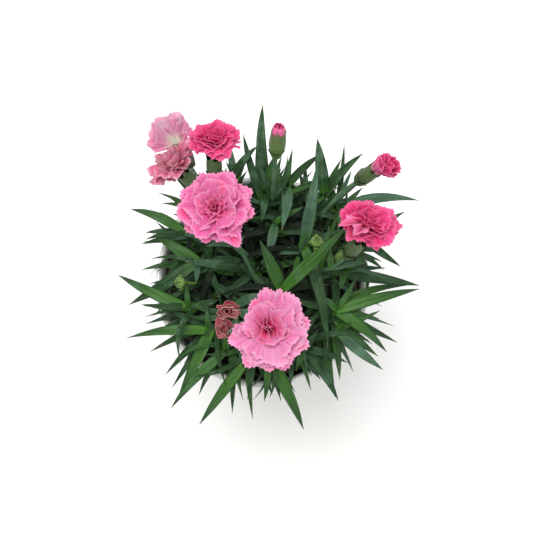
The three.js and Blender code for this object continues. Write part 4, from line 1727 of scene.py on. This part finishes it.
@dataclass
class PetalBlank:
    """A flat grid of unit size, which is modelled once and shaped into every petal.

    A petal's foot stands as deep in the calyx as the claw is long. The claw is upright and narrow,
    as a lean and as a share of the petal's fan. The petal's curve is worked out in so many steps,
    up to the overrun as a share of its length.
    """

    columns: int = 28
    rows: int = 9
    claw: float = 4.0
    narrow: float = 0.14
    upright: float = 4.0
    overrun: float = 1.15
    steps: int = 93
    slimmest: float = 1.2
    piece: Piece = field(init=False)
    shape: np.ndarray = field(init=False)

    def __post_init__(self) -> None:
        """Models the blank: across it runs from -1 to 1, and along it from 0 to 1."""
        bpy.ops.object.select_all(action="DESELECT")
        bpy.ops.mesh.primitive_grid_add(
            x_subdivisions=self.columns, y_subdivisions=self.rows, size=2.0
        )
        self.piece = Bench.added("petal_blank")
        self.shape = Bench.points(self.piece)
        Bench.mark(self.piece, "across", self.shape[:, 0])
        Bench.mark(self.piece, "along", (self.shape[:, 1] + 1.0) / 2.0)

    def shaped(
        self, whorl: Whorl, share: float, turn: float, luck: Luck
    ) -> tuple[np.ndarray, np.ndarray]:
        """Shapes one petal, with the mouth of the calyx at zero and the flower's axis upwards.

        Args:
            whorl: The ring that the petal belongs to.
            share: Its length as a share of the ring's.
            turn: Where it stands in the ring.
            luck: The draw of its small differences.

        Returns:
            Its points, and how deep each lies in a fold, from 0 to 1, which the finish darkens as
            painted shade.
        """
        across = self.shape[:, 0]
        along = (self.shape[:, 1] + 1.0) / 2.0
        length = whorl.length * share * luck.uniform(1.0 - whorl.uneven, 1.0 + whorl.uneven)
        lean = whorl.lean + luck.uniform(-whorl.spread, whorl.spread)
        reach = self._reach(whorl, length, luck)
        opening = self.narrow + (1.0 - self.narrow) * smooth(along, 0.0, 0.8)
        fan = math.radians(whorl.fan) * opening * across
        fan = fan + math.radians(whorl.skew) * smooth(along, 0.0, 0.5)
        x, y = reach * np.cos(fan), reach * np.sin(fan)
        steps, angle, out, high = self._bend(whorl, length, lean)
        station = np.clip(x / length, 0.0, self.overrun)
        lean_here = np.interp(station, steps, angle)
        ripple = self._ripple(luck)
        lift = whorl.ruffle * ripple + whorl.fold * np.abs(y)
        x_out = np.interp(station, steps, out) - np.cos(lean_here) * lift
        z_up = np.interp(station, steps, high) + np.sin(lean_here) * lift
        spin = math.radians(turn) + whorl.wrap * y / np.maximum(x_out, self.slimmest)
        flat = y * (1.0 - whorl.wrap)
        local = np.stack([
            x_out * np.cos(spin) - flat * np.sin(spin),
            x_out * np.sin(spin) + flat * np.cos(spin),
            z_up,
        ], axis=1)
        return local, np.clip(-ripple, 0.0, 1.0) * smooth(along, 0.15, 0.5)

    def _reach(self, whorl: Whorl, length: float, luck: Luck) -> np.ndarray:
        """Works out how far the points lie from the petal's foot, with the lobes and teeth.

        Args:
            whorl: The ring that the petal belongs to.
            length: The petal's length.
            luck: The draw of its small differences.

        Returns:
            A distance for each point.
        """
        lobe_depth, corner_cut, roundness, pointing = 0.06, 0.15, 2.4, 1.2
        across = self.shape[:, 0]
        along = (self.shape[:, 1] + 1.0) / 2.0
        column = np.rint((across + 1.0) / 2.0 * self.columns).astype(int)
        odd = np.arange(self.columns + 1) % 2
        nicks = whorl.teeth * luck.uniform(0.3, 1.0, self.columns + 1) * odd
        wave = np.sin(np.pi * luck.uniform(1.4, 2.4) * across + luck.uniform(0.0, 6.3))
        corner = (corner_cut + whorl.point) * np.abs(across) ** (roundness - pointing * whorl.point)
        edge = 1.0 - corner + lobe_depth * wave * (1.0 - whorl.point)
        return length * along * (1.0 + (edge - 1.0) * along**2) - nicks[column] * along**8

    def _bend(self, whorl: Whorl, length: float, lean: float) -> tuple[np.ndarray, ...]:
        """Works out the curve that a petal's middle follows, from its claw outwards.

        Args:
            whorl: The ring that the petal belongs to.
            length: The petal's length.
            lean: The lean of its blade.

        Returns:
            Shares of its length, and at each its lean in radians, distance out and height.
        """
        steps = np.linspace(0.0, self.overrun, self.steps)
        bend = self.upright + (lean - self.upright) * smooth(steps, 0.14, 0.62)
        angle = np.radians(bend + whorl.curl * smooth(steps, 0.6, 1.05))
        stride = length * (steps[1] - steps[0])
        out = whorl.base + np.concatenate([[0.0], np.cumsum(np.sin(angle)[:-1] * stride)])
        high = -self.claw + np.concatenate([[0.0], np.cumsum(np.cos(angle)[:-1] * stride)])
        return steps, angle, out, high

    def _ripple(self, luck: Luck) -> np.ndarray:
        """Draws a petal's waves in three sizes, which grow towards its edge.

        Args:
            luck: The draw of its small differences.

        Returns:
            The height of the waves at each point, as a share of the ruffle.
        """
        small_share, frill_share = 0.35, 0.14
        across = self.shape[:, 0]
        along = (self.shape[:, 1] + 1.0) / 2.0
        first, second, third = luck.uniform(0.0, 2 * np.pi, 3)
        broad = np.sin(np.pi * luck.uniform(1.3, 2.1) * across + first)
        small = np.sin(np.pi * luck.uniform(3.2, 4.4) * across + second)
        frill = np.sin(np.pi * luck.uniform(6.5, 8.5) * across + third)
        waves = broad * along**1.5 + small_share * small * along**2.5
        return waves + frill_share * frill * along**5


@dataclass(frozen=True)
class Bloom:
    """All the petals of one flower, from the outer ring to the heart.

    The stretch widens the whole both ways across the flower, and the shift moves its blades, in
    full from the shift height above the calyx. The blush is how pale chance makes a petal.
    """

    slot: str
    finish: PetalFinish
    whorls: tuple[Whorl, ...]
    thickness: float = 0.22
    stretch: Pair = (1.0, 1.0)
    shift: Pair = (0.0, 0.0)
    shift_height: float = 8.0
    lift: float = 0.3
    blush: float = 0.35
    blush_start: float = 0.1

    def build(self, name: str, head: Head, blank: PetalBlank, seed: int) -> Piece:
        """Builds the petals on a flower head as one piece.

        Args:
            name: The piece's name.
            head: Where the flower stands.
            blank: The petal of unit size.
            seed: The seed of the small differences.

        Returns:
            The piece, not yet painted.
        """
        luck = np.random.default_rng(seed)
        petals = []
        for whorl in self.whorls:
            for number in range(whorl.count):
                step = whorl.arc * number / whorl.count
                turn = whorl.start + step + whorl.jitter * luck.uniform(-1.0, 1.0)
                share = whorl.shares[number % len(whorl.shares)]
                local, fold = blank.shaped(whorl, share, turn, luck)
                local[:, :2] *= self.stretch
                local[:, :2] += np.outer(smooth(local[:, 2], 0.0, self.shift_height), self.shift)
                local[:, 2] += head.length + luck.uniform(-self.lift, self.lift)
                chance = luck.uniform()
                pale = max(whorl.pale, self.blush * chance - self.blush_start)
                # depth and fold carry the painted shade of the heart and of the waves' valleys
                marks = {"depth": whorl.depth, "fold": fold, "chance": chance, "pale": pale}
                petals.append(Bench.copied(blank.piece, head.placed(local), marks))
        piece = Bench.joined(name, petals)
        Bench.apply(piece, "SOLIDIFY", thickness=self.thickness * MM, offset=0.0)
        Bench.shade(piece, 65.0)
        return piece


MEDIUM_PINK = PetalFinish(
    "petal_medium_pink", "#dc5f90", "#ce518c", "#f40e61", "#e8a4c2", glow=0.7
)
PALE_PINK = PetalFinish("petal_light_pink", "#dc5f90", "#d16c9b", "#e8105c", "#e2a9c2", glow=0.75)
HOT_PINK = PetalFinish(
    "petal_deep_pink", "#f0d6c4", "#da2c70", "#b00d44", "#f48fb9", rim=0.3, glow=0.4
)
FADED = PetalFinish(
    "petal_faded_pink", "#e2e6bd", "#d6789c", "#b0406f", "#f2cfdf", heart=0.3, claw_reach=0.6,
    glow=0.1, scorch=0.35,
)
WILTED = PetalFinish(
    "petal_wilted_pink", "#dccfa6", "#cf6688", "#821a3c", "#eecdd0", heart=0.6, glow=0.4,
    scorch=0.7,
)
SPENT = PetalFinish(
    "petal_spent_rose", "#a8705f", "#a4455c", "#7a1a34", "#e6bda4", rim=0.3, scorch=0.5
)
CLOSED_GREEN = CalyxFinish("closed_bud_green", "#4a7628", "#45602c", "#c9977e", "#5f8050")
YOUNG_GREEN = CalyxFinish("bud_green", "#44692c", "#6f9445", "#c3cf90", "#7fa065")


@dataclass
class Flower:
    """A flower on its stem: stem with leaves, calyx and petals.

    The facing is its axis, the length its calyx's, and the green its calyx's finish.
    """

    name: str
    growth: Growth
    facing: Triple
    length: float
    calyx: Calyx
    bloom: Bloom
    seed: int
    stem_radius: float = 1.3
    sway: float = 0.03
    twist: float = 20.0
    green: CalyxFinish = CalyxFinish()

    @property
    def head(self) -> Head:
        """Where the flower stands."""
        return Head(self.growth.top, self.facing, self.length)

    def stem(self, rod: RodBlank, blade: LeafBlank) -> Piece:
        """Builds the stem with its few leaves as one piece.

        Args:
            rod: The stem of unit size.
            blade: The leaf of unit size.

        Returns:
            The piece, not yet painted.
        """
        luck = np.random.default_rng(self.seed)
        growth = self.growth
        path = flower_path((*growth.foot, STEM_FOOT), growth.top, self.facing)
        parts = [rod.laid(path, self.stem_radius, growth.joints())]
        node = f"stem_{self.name}"
        leaves = planned_leaves(node, growth, path, luck, self.sway, self.twist)
        parts += [blade.laid(leaf) for leaf in leaves]
        return Bench.joined(f"flower_stem_{self.name}", parts)

    def build(self, kit: "Nursery") -> None:
        """Builds and paints the stem, the calyx and the petals.

        Args:
            kit: The blanks and finishes.
        """
        stem = self.stem(kit.rod, kit.blade)
        Bench.finish(stem, "flower_stem", kit.leaf_green, f"stem_{self.name}")
        calyx = self.calyx.build(f"calyx_tube_{self.name}", self.head, kit.calyx)
        Bench.finish(calyx, "calyx", kit.mixed(self.green), f"calyx_{self.name}")
        petals = self.bloom.build(f"blossom_{self.name}", self.head, kit.petal, self.seed)
        material = kit.mixed(self.bloom.finish)
        Bench.finish(petals, self.bloom.slot, material, f"petals_{self.name}")


@dataclass
class Nursery:
    """The blanks and finishes that all the plants' pieces share."""

    rod: RodBlank = field(default_factory=RodBlank)
    blade: LeafBlank = field(default_factory=LeafBlank)
    calyx: CalyxBlank = field(default_factory=CalyxBlank)
    petal: PetalBlank = field(default_factory=PetalBlank)
    painted: dict[str, Material] = field(default_factory=dict)
    leaf_green: Material = field(init=False)
    stem_green: Material = field(init=False)
    calyx_green: Material = field(init=False)
    bud_green: Material = field(init=False)

    def __post_init__(self) -> None:
        """Mixes the greens."""
        self.leaf_green = LeafFinish().material()
        self.stem_green = StemFinish().material()
        self.calyx_green = self.mixed(CalyxFinish())
        self.bud_green = self.mixed(YOUNG_GREEN)

    def mixed(self, finish: CalyxFinish | PetalFinish) -> Material:
        """Gives a finish that several pieces share, mixed once and kept.

        Args:
            finish: The finish.

        Returns:
            Its material.
        """
        if finish.name not in self.painted:
            self.painted[finish.name] = finish.material()
        return self.painted[finish.name]

    def clear_away(self) -> None:
        """Removes the blanks once everything is built."""
        leafy = (self.rod.piece, self.blade.piece)
        flowery = (self.calyx.tube, self.calyx.bract, self.petal.piece)
        for blank in leafy + flowery:
            bpy.data.objects.remove(blank)


LEFT_BLOOM = Bloom("petal_pink", MEDIUM_PINK, (
    Whorl(8, 24.8, 34, 92, 1.6, 0.0, start=4, uneven=0.02, teeth=1.5, jitter=4, base=2.9,
          shares=(1.13, 1.06, 0.98, 1.0, 1.0, 1.0, 0.92, 1.05)),
    Whorl(1, 32.5, 17, 97, 2.2, 0.0, start=-60, uneven=0.0, teeth=1.6, jitter=0, pale=0.1,
          base=2.9, point=0.12),
    Whorl(6, 24, 42, 76, 2.0, 0.0, start=28, teeth=1.4, uneven=0.05, spread=4, base=2.5,
          shares=(1.08, 1.0, 0.9, 1.05, 0.95, 1.1)),
    Whorl(1, 22.5, 36, 62, 1.8, 0.0, start=75, fold=0.15, teeth=1.3, pale=0.15, jitter=0, base=2),
    Whorl(1, 23, 36, 66, 1.8, 0.0, start=205, fold=0.15, teeth=1.3, pale=0.2, jitter=0, base=2),
    Whorl(1, 22, 40, 66, 1.8, 0.0, start=262, fold=0.1, teeth=1.3, pale=0.15, jitter=0, base=2),
    Whorl(1, 21.5, 40, 62, 1.8, 0.0, start=332, fold=0.1, teeth=1.3, pale=0.1, jitter=0, base=2),
    Whorl(1, 21, 34, 50, 1.4, 0.1, start=140, fold=0.35, teeth=1.1, pale=0.3, jitter=0),
    Whorl(1, 20.5, 34, 53, 1.4, 0.1, start=20, fold=0.3, teeth=1.1, pale=0.1, jitter=0),
    Whorl(1, 19, 34, 51, 1.4, 0.2, start=244, fold=0.3, teeth=1.0, jitter=0),
    Whorl(6, 16.5, 14, 30, 0.6, 0.6, start=15, fold=0.5, curl=20, teeth=0.5, spread=9),
    Whorl(5, 16, 12, 14, 0.5, 0.7, fold=0.5, curl=20, teeth=0.4, spread=9, base=1.0, pale=0.3),
    Whorl(3, 15.5, 12, -4, 0.5, 0.8, fold=0.4, curl=20, teeth=0.4, base=0.9),
), shift=(0.8, 1.0))
FRONT_BLOOM = Bloom("petal_pale_pink", PALE_PINK, (
    Whorl(8, 27.8, 30, 91, 1.5, 0.0, start=-22, uneven=0.02, teeth=1.6, jitter=3, base=2.9,
          shares=(1.05, 1.03, 0.98, 0.62, 0.41, 0.76, 1.05, 1.08)),
    Whorl(1, 27.4, 20, 84, 1.2, 0.0, start=80, uneven=0.0, teeth=1.4, jitter=0, base=2.9),
    Whorl(1, 27.4, 22, 88, 1.5, 0.0, start=202, uneven=0.0, teeth=1.5, jitter=0, base=2.9),
    Whorl(7, 26.4, 42, 80, 1.7, 0.0, start=28, uneven=0.02, teeth=1.5, jitter=4, base=2.5,
          spread=3, shares=(1.06, 0.84, 0.56, 0.42, 0.98, 1.06, 1.04)),
    Whorl(4, 24, 44, 72, 1.8, 0.05, start=-128, arc=200, uneven=0.04, teeth=1.3, spread=4,
          base=2.0),
    Whorl(1, 22.5, 40, 62, 1.4, 0.1, start=104, fold=0.25, teeth=1.3, pale=0.2, jitter=0),
    Whorl(1, 20.5, 36, 58, 1.4, 0.3, start=146, fold=0.5, curl=30, teeth=1.2, jitter=0),
    Whorl(1, 20, 40, 52, 1.2, 0.2, start=48, fold=0.3, teeth=1.0, jitter=0),
    Whorl(3, 18, 34, 50, 1.3, 0.4, start=-120, arc=150, fold=0.3, teeth=0.8, spread=8),
    Whorl(2, 16.5, 42, 18, 1.0, 0.7, start=20, base=0.8, teeth=0.6, spread=3, jitter=0),
    Whorl(2, 16, 30, 2, 0.9, 0.8, start=20, base=0.4, teeth=0.5, spread=3, jitter=0),
    Whorl(2, 15.5, 16, -8, 0.5, 0.8, start=100, base=0.9, fold=0.4, teeth=0.4, jitter=0),
), shift=(0.3, -0.8))
BACK_BLOOM = Bloom("petal_hot_pink", HOT_PINK, (
    Whorl(7, 20, 38, 84, 1.3, 0.0, uneven=0.03, teeth=0.8),
    Whorl(1, 23.5, 22, 88, 0.8, 0.0, start=-68, teeth=0.8, jitter=0, uneven=0),
    Whorl(7, 19.5, 36, 66, 1.5, 0.1, start=25, spread=8),
    Whorl(6, 19, 34, 48, 1.6, 0.3, fold=0.1, spread=8),
    Whorl(5, 18, 30, 31, 1.5, 0.5, start=20, fold=0.2, spread=8),
    Whorl(4, 16.5, 26, 14, 1.3, 0.7, wrap=0.2),
    Whorl(3, 15, 22, -4, 1.0, 0.9, base=0.9, fold=0.3),
), stretch=(1.02, 0.8), shift=(0.6, 6.0))
RIGHT_BLOOM = Bloom("petal_hot_pink", HOT_PINK, (
    Whorl(7, 25, 38, 86, 1.6, 0.0, uneven=0.03, jitter=4,
          shares=(1.04, 0.95, 0.95, 0.97, 0.76, 0.86, 1.03)),
    Whorl(7, 23, 36, 70, 1.8, 0.1, start=25, spread=8,
          shares=(1.0, 1.0, 1.0, 0.9, 0.85, 0.95, 1.0)),
    Whorl(2, 27, 12, 80, 1.0, 0.0, start=200, arc=56, fold=0.9, pale=1.0, teeth=0.6, jitter=0),
    Whorl(5, 21, 38, 54, 1.8, 0.2, fold=0.15, spread=9),
    Whorl(5, 19, 32, 37, 1.7, 0.4, start=20, fold=0.25, spread=9),
    Whorl(4, 17, 26, 18, 1.4, 0.65, wrap=0.2),
    Whorl(3, 15.5, 22, -4, 1.0, 0.9, base=0.9, fold=0.3),
), stretch=(1.08, 0.8), shift=(1.7, 6.8))
FADED_BLOOM = Bloom("petal_faded", FADED, (
    Whorl(1, 18, 32, 28, 1.0, 0.2, start=180, teeth=0.7, jitter=0, skew=28),
    Whorl(1, 19, 32, 26, 1.0, 0.2, start=180, teeth=0.7, jitter=0, skew=4),
    Whorl(1, 15.5, 32, 28, 1.0, 0.2, start=180, teeth=0.7, jitter=0, skew=-25),
    Whorl(1, 10.5, 30, 30, 0.9, 0.2, teeth=0.7, jitter=0, spread=0, uneven=0, skew=58),
    Whorl(1, 16.5, 32, 26, 1.0, 0.0, teeth=0.7, jitter=0, spread=0, uneven=0, skew=40),
    Whorl(1, 19.5, 32, 22, 1.0, 0.1, teeth=0.7, jitter=0, spread=0, uneven=0, skew=22),
    Whorl(1, 21.5, 32, 18, 1.0, 0.0, teeth=0.7, pale=0.5, jitter=0, spread=0, uneven=0, skew=7),
    Whorl(1, 23, 32, 16, 1.0, 0.0, teeth=0.7, pale=0.2, jitter=0, spread=0, uneven=0, skew=-10),
    Whorl(1, 23, 32, 14, 1.0, 0.1, teeth=0.7, jitter=0, spread=0, uneven=0, skew=-27),
    Whorl(1, 19.5, 28, 14, 1.0, 0.2, teeth=0.7, jitter=0, spread=0, uneven=0, skew=-41),
    Whorl(1, 15, 9, 30, 0.6, 1.0, fold=0.9, curl=30, teeth=0.4, jitter=0, skew=-58),
))
WILTED_BLOOM = Bloom("petal_wilted", WILTED, (
    Whorl(5, 21, 30, 70, 2.2, 0.1, curl=40, uneven=0.15, spread=12, teeth=0.8),
    Whorl(5, 20, 30, 52, 2.4, 0.3, start=30, curl=30, uneven=0.15, spread=12, teeth=0.8),
    Whorl(3, 22, 8, 66, 1.0, 1.0, start=10, arc=60, fold=0.8, curl=50, teeth=0.4),
    Whorl(5, 18, 30, 34, 2.2, 0.5, curl=-30, spread=10, pale=0.3, teeth=0.8),
    Whorl(3, 16, 26, 8, 1.4, 0.7, base=0.9),
    Whorl(3, 15, 24, -8, 1.2, 0.8, base=0.9),
))
BUD_BLOOM = Bloom("petal_hot_pink", HOT_PINK, (
    Whorl(7, 9.6, 34, -8, 0.1, 0.0, start=-90, curl=-26, teeth=0.1, spread=1, wrap=1.0, base=4.0,
          pale=0.5, jitter=3, point=0.6),
    Whorl(5, 9.9, 34, -6, 0.1, 0.5, start=-60, curl=-20, teeth=0.1, spread=2, wrap=1.0, base=3.2,
          pale=0.3, point=0.6),
    Whorl(3, 10.2, 30, -2, 0.1, 0.9, start=-20, curl=-12, teeth=0.1, wrap=1.0, base=1.8,
          point=0.6),
))
HALF_OPEN_BLOOM = Bloom("petal_hot_pink", HOT_PINK, (
    Whorl(9, 13.5, 34, 38, 0.7, 0.0, wrap=0.9, base=4.0, curl=-40, pale=0.4, spread=3),
    Whorl(6, 15.5, 30, 31, 1.0, 0.1, start=30, wrap=0.4, base=3.0, curl=-25),
    Whorl(5, 17, 28, 22, 1.1, 0.3, wrap=0.3, base=2.3),
    Whorl(4, 17.5, 26, 11, 1.1, 0.5, wrap=0.2, base=1.5),
    Whorl(3, 17.5, 22, 0, 1.0, 0.8, base=0.8, fold=0.3),
), stretch=(1.0, 0.86), shift=(0.3, -2.4))
SPENT_BLOOM = Bloom("petal_spent", SPENT, (
    Whorl(4, 12, 44, 54, 1.5, 0.0, curl=-80, wrap=0.4, base=2.2, teeth=0.8, spread=20, uneven=0.2),
    Whorl(3, 12, 44, 36, 1.7, 0.2, start=40, curl=-80, wrap=0.3, teeth=0.8, spread=20, pale=0.5,
          uneven=0.15),
    Whorl(2, 11, 38, 12, 1.5, 0.4, curl=-60, wrap=0.3, teeth=0.6, spread=20, fold=0.3),
), stretch=(1.08, 0.74), shift=(1.2, -2.3))
SMALL_SPENT_BLOOM = replace(SPENT_BLOOM, stretch=(0.76, 0.78), shift=(0.5, 4.0))


def flowers() -> list[Flower]:
    """Lists the eight flowers that stand on stems of their own.

    Returns:
        The flowers, in the order in which they are built.
    """
    open_calyx = Calyx()
    bud_calyx = Calyx(belly=5.0, mouth=4.5, flare=-0.8, stretch=1.2)
    return [
        Flower("left", Growth((0, -10), (-24, 23, 206), "ddgg", (
            (0.35, 147, 12, 3, 4), (0.35, -49, 21, -1, 4), (0.62, 12, 5, 21, 5),
            (0.62, -171, 19, 11, 5),
        )), (-0.12, -0.05, 1), 21, open_calyx, LEFT_BLOOM, 101),
        Flower("front", Growth((3, -18), (3, -43, 219), "ggddd", (
            (0.66, 167, 16, 20, 7), (0.55, -152, 27, 21, 7), (0.5, -28, 24, 18, 5),
            (0.3, -60, 27, 13, 6), (0.3, -137, 19, 7, 5),
        )), (0, -0.12, 1), 21, open_calyx, FRONT_BLOOM, 102),
        Flower("back", Growth((-14, 24), (-28, 50, 187), "ddgb", (
            (0.45, 30, 16, 8, 5), (0.45, 84, 14, 9, 5), (0.7, 77, 17, 25, 5),
            (0.7, 118, 12, 8, 4),
        )), (0, 0.55, 1), 21, open_calyx, BACK_BLOOM, 103),
        Flower("right", Growth((27, 5), (49, 4, 181), "dbgb", (
            (0.5, -9, 17, 0, 5), (0.5, 76, 26, 10, 5), (0.75, 0, 19, 13, 6),
            (0.75, 102, 8, 21, 5),
        )), (0.5, 0.42, 1), 21, open_calyx, RIGHT_BLOOM, 104),
        Flower("faded", Growth((-25, 36), (-42, 58, 177), "dd", (
            (0.5, 113, 27, -8, 4), (0.5, -180, 4, 4, 4),
        )), (-0.5, 0.75, 0.3), 18, open_calyx, FADED_BLOOM, 105),
        Flower("wilted", Growth((-24, 22), (-37, 45, 184), "dd", (
            (0.55, 140, 42, -5, 4), (0.55, 170, 20, 5, 6),
        )), (-0.6, 0.4, 0.7), 18, open_calyx, WILTED_BLOOM, 106),
        Flower("closed_bud", Growth((6, 42), (8, 63, 186), "ddg", (
            (0.45, 116, 19, 13, 5), (0.45, 47, 16, 5, 5), (0.75, 90, 12, 21, 3),
        )), (0.08, 0.54, 1), 21, bud_calyx, BUD_BLOOM, 107, green=CLOSED_GREEN),
        Flower("half_open_bud", Growth((31, 31), (56, 50, 176), "ddg", (
            (0.5, 39, 35, 3, 5), (0.5, 54, 10, 11, 5), (0.8, 64, 13, 11, 3),
        )), (0.65, 0.3, 0.7), 18, open_calyx, HALF_OPEN_BLOOM, 108),
    ]


@dataclass
class SpentPair:
    """Two spent flowers on one forked stem.

    The trunk ends in the direction of the facing. The branches set out the merge below the fork,
    and their girth is a share of the trunk's.
    """

    foot: Pair = (-4, -26)
    fork: Triple = (-13, -35, 160)
    facing: Triple = (-0.2, -0.2, 1)
    merge: float = 2.0
    radius: float = 1.3
    branch_girth: float = 0.8
    trunk_joints: tuple[float, ...] = (0.5, 0.97)
    branch_joints: tuple[float, ...] = (0.55,)
    first_seed: int = 120
    heads: dict[str, tuple[Head, Bloom]] = field(default_factory=lambda: {
        "spent_upper": (Head((-18, -31, 184), (-0.15, 0.1, 1), 9), SPENT_BLOOM),
        "spent_lower": (Head((-19, -38, 173), (-0.25, -0.35, 1), 9), SMALL_SPENT_BLOOM),
    })

    def build(self, kit: Nursery) -> None:
        """Builds the forked stem and both heads.

        Args:
            kit: The blanks and finishes.
        """
        trunk = flower_path((*self.foot, STEM_FOOT), self.fork, self.facing)
        parts = [kit.rod.laid(trunk, self.radius, self.trunk_joints)]
        fork_x, fork_y, fork_z = self.fork
        for head, _ in self.heads.values():
            branch = flower_path((fork_x, fork_y, fork_z - self.merge), head.foot, head.facing)
            girth = self.branch_girth * self.radius
            parts.append(kit.rod.laid(branch, girth, self.branch_joints))
        stem = Bench.joined("flower_stem_spent", parts)
        Bench.finish(stem, "flower_stem", kit.stem_green, "stem_spent")
        calyx = Calyx(scale=0.7, flare=0.8, bract_length=5.0)
        for seed, (name, (head, bloom)) in enumerate(self.heads.items(), start=self.first_seed):
            tube = calyx.build(f"calyx_tube_{name}", head, kit.calyx)
            Bench.finish(tube, "calyx", kit.calyx_green, f"calyx_{name}")
            petals = bloom.build(f"blossom_{name}", head, kit.petal, seed)
            material = kit.mixed(bloom.finish)
            Bench.finish(petals, bloom.slot, material, f"petals_{name}")


@dataclass
class YoungBud:
    """A green bud, still closed, on a thin stem of its own."""

    name: str
    foot: Pair
    tip: Triple
    length: float = 9.0
    stem_radius: float = 0.9
    joints: tuple[float, ...] = (0.5,)

    def build(self, kit: Nursery) -> None:
        """Builds the stem and the closed bud as one piece.

        Args:
            kit: The blanks and finishes.
        """
        path = shoot_path(self.foot, self.tip)
        axis = path.heading(1.0)
        head = Head(tuple(path.at(1.0) - axis), tuple(axis), self.length)
        calyx = Calyx(scale=0.78, mouth=3.4, throat=0.62, flare=-3.2, bract_length=4.5)
        bud = calyx.build("bud", head, kit.calyx)
        stem = kit.rod.laid(path, self.stem_radius, self.joints)
        piece = Bench.joined(self.name.replace("young_bud", "green_bud"), [bud, stem])
        Bench.finish(piece, "calyx", kit.bud_green, self.name)


YOUNG_BUDS = (
    YoungBud("young_bud_east", (40, 13), (46, 6, 166)),
    YoungBud("young_bud_heart", (30, 6), (32, 14, 170)),
    YoungBud("young_bud_west", (-33, -3), (-48, -6, 148)),
)


# ---------------------------------------------------------------- studio


@dataclass
class Studio:
    """A plain pale floor, soft light and the camera, which looks almost straight down."""

    floor_size: float = 6000.0
    camera_place: Triple = (2.5, -164.7, 1104.4)
    camera_tilt: float = 10.0
    sensor: float = 36.0
    focal_pixels: float = 1600.0
    picture_side: float = 533.0
    near_clip: float = 50.0
    lit_place: Triple = (0.0, 0.0, 150.0)
    key_place: Triple = (-220.0, 260.0, 1500.0)
    key_size: float = 900.0
    key_power: float = 17.0
    fill_place: Triple = (800.0, -500.0, 1100.0)
    fill_size: float = 900.0
    fill_power: float = 3.0
    sky: float = 0.66

    def build(self) -> None:
        """Sets up the floor, the lights and the camera."""
        bpy.context.scene.view_settings.view_transform = "Standard"
        self.floor()
        self.sky_light()
        self.lamp("key_light", self.key_place, self.key_size, self.key_power)
        self.lamp("fill_light", self.fill_place, self.fill_size, self.fill_power)
        self.camera()

    def floor(self) -> None:
        """Lays the floor."""
        bpy.ops.object.select_all(action="DESELECT")
        bpy.ops.mesh.primitive_plane_add(size=self.floor_size * MM)
        floor = Bench.added("studio_floor")
        bpy.ops.object.mode_set(mode="EDIT")
        bpy.ops.mesh.subdivide(number_cuts=4)
        bpy.ops.object.mode_set(mode="OBJECT")
        floor.data.materials.append(FloorFinish().material())

    def sky_light(self) -> None:
        """Lights everything a little from all round."""
        world = bpy.data.worlds.new("soft_sky")
        world.use_nodes = True
        background = world.node_tree.nodes["Background"]
        background.inputs["Color"].default_value = (1.0, 1.0, 1.0, 1.0)
        background.inputs["Strength"].default_value = self.sky
        bpy.context.scene.world = world

    def lamp(self, name: str, place: Triple, size: float, power: float) -> None:
        """Hangs a square soft light that faces the plant.

        Args:
            name: Its name.
            place: Where it hangs.
            size: The length of its sides.
            power: Its power in watts.
        """
        light = bpy.data.lights.new(name, "AREA")
        light.shape = "SQUARE"
        light.size = size * MM
        light.energy = power
        lamp = bpy.data.objects.new(name, light)
        bpy.context.scene.collection.objects.link(lamp)
        lamp.location = [value * MM for value in place]
        toward = unit(np.array(self.lit_place) - np.array(place))
        pitch = math.acos(-toward[2])
        yaw = math.atan2(toward[1], toward[0]) - math.pi / 2
        lamp.rotation_euler = (pitch, 0.0, yaw)

    def camera(self) -> None:
        """Puts the camera in its place."""
        data = bpy.data.cameras.new("camera")
        data.sensor_width = self.sensor
        data.lens = self.focal_pixels * self.sensor / self.picture_side
        data.clip_start = self.near_clip * MM
        camera = bpy.data.objects.new("camera", data)
        bpy.context.scene.collection.objects.link(camera)
        camera.location = [value * MM for value in self.camera_place]
        camera.rotation_euler = (math.radians(self.camera_tilt), 0.0, 0.0)
        bpy.context.scene.camera = camera


def main() -> None:
    """Builds the pots, the soil, the plant and the studio, in that order."""
    logging.basicConfig(level=logging.INFO, format="%(name)s %(message)s")
    CoverPot().build()
    GrowPot().build()
    Soil().build()
    kit = Nursery()
    for seed, (name, growth) in enumerate(SHOOTS.items(), start=1):
        Shoot(name, growth, seed).build(kit.rod, kit.blade, kit.leaf_green)
    for flower in flowers():
        flower.build(kit)
    SpentPair().build(kit)
    for bud in YOUNG_BUDS:
        bud.build(kit)
    kit.clear_away()
    Studio().build()


if __name__ == "__main__":
    main()
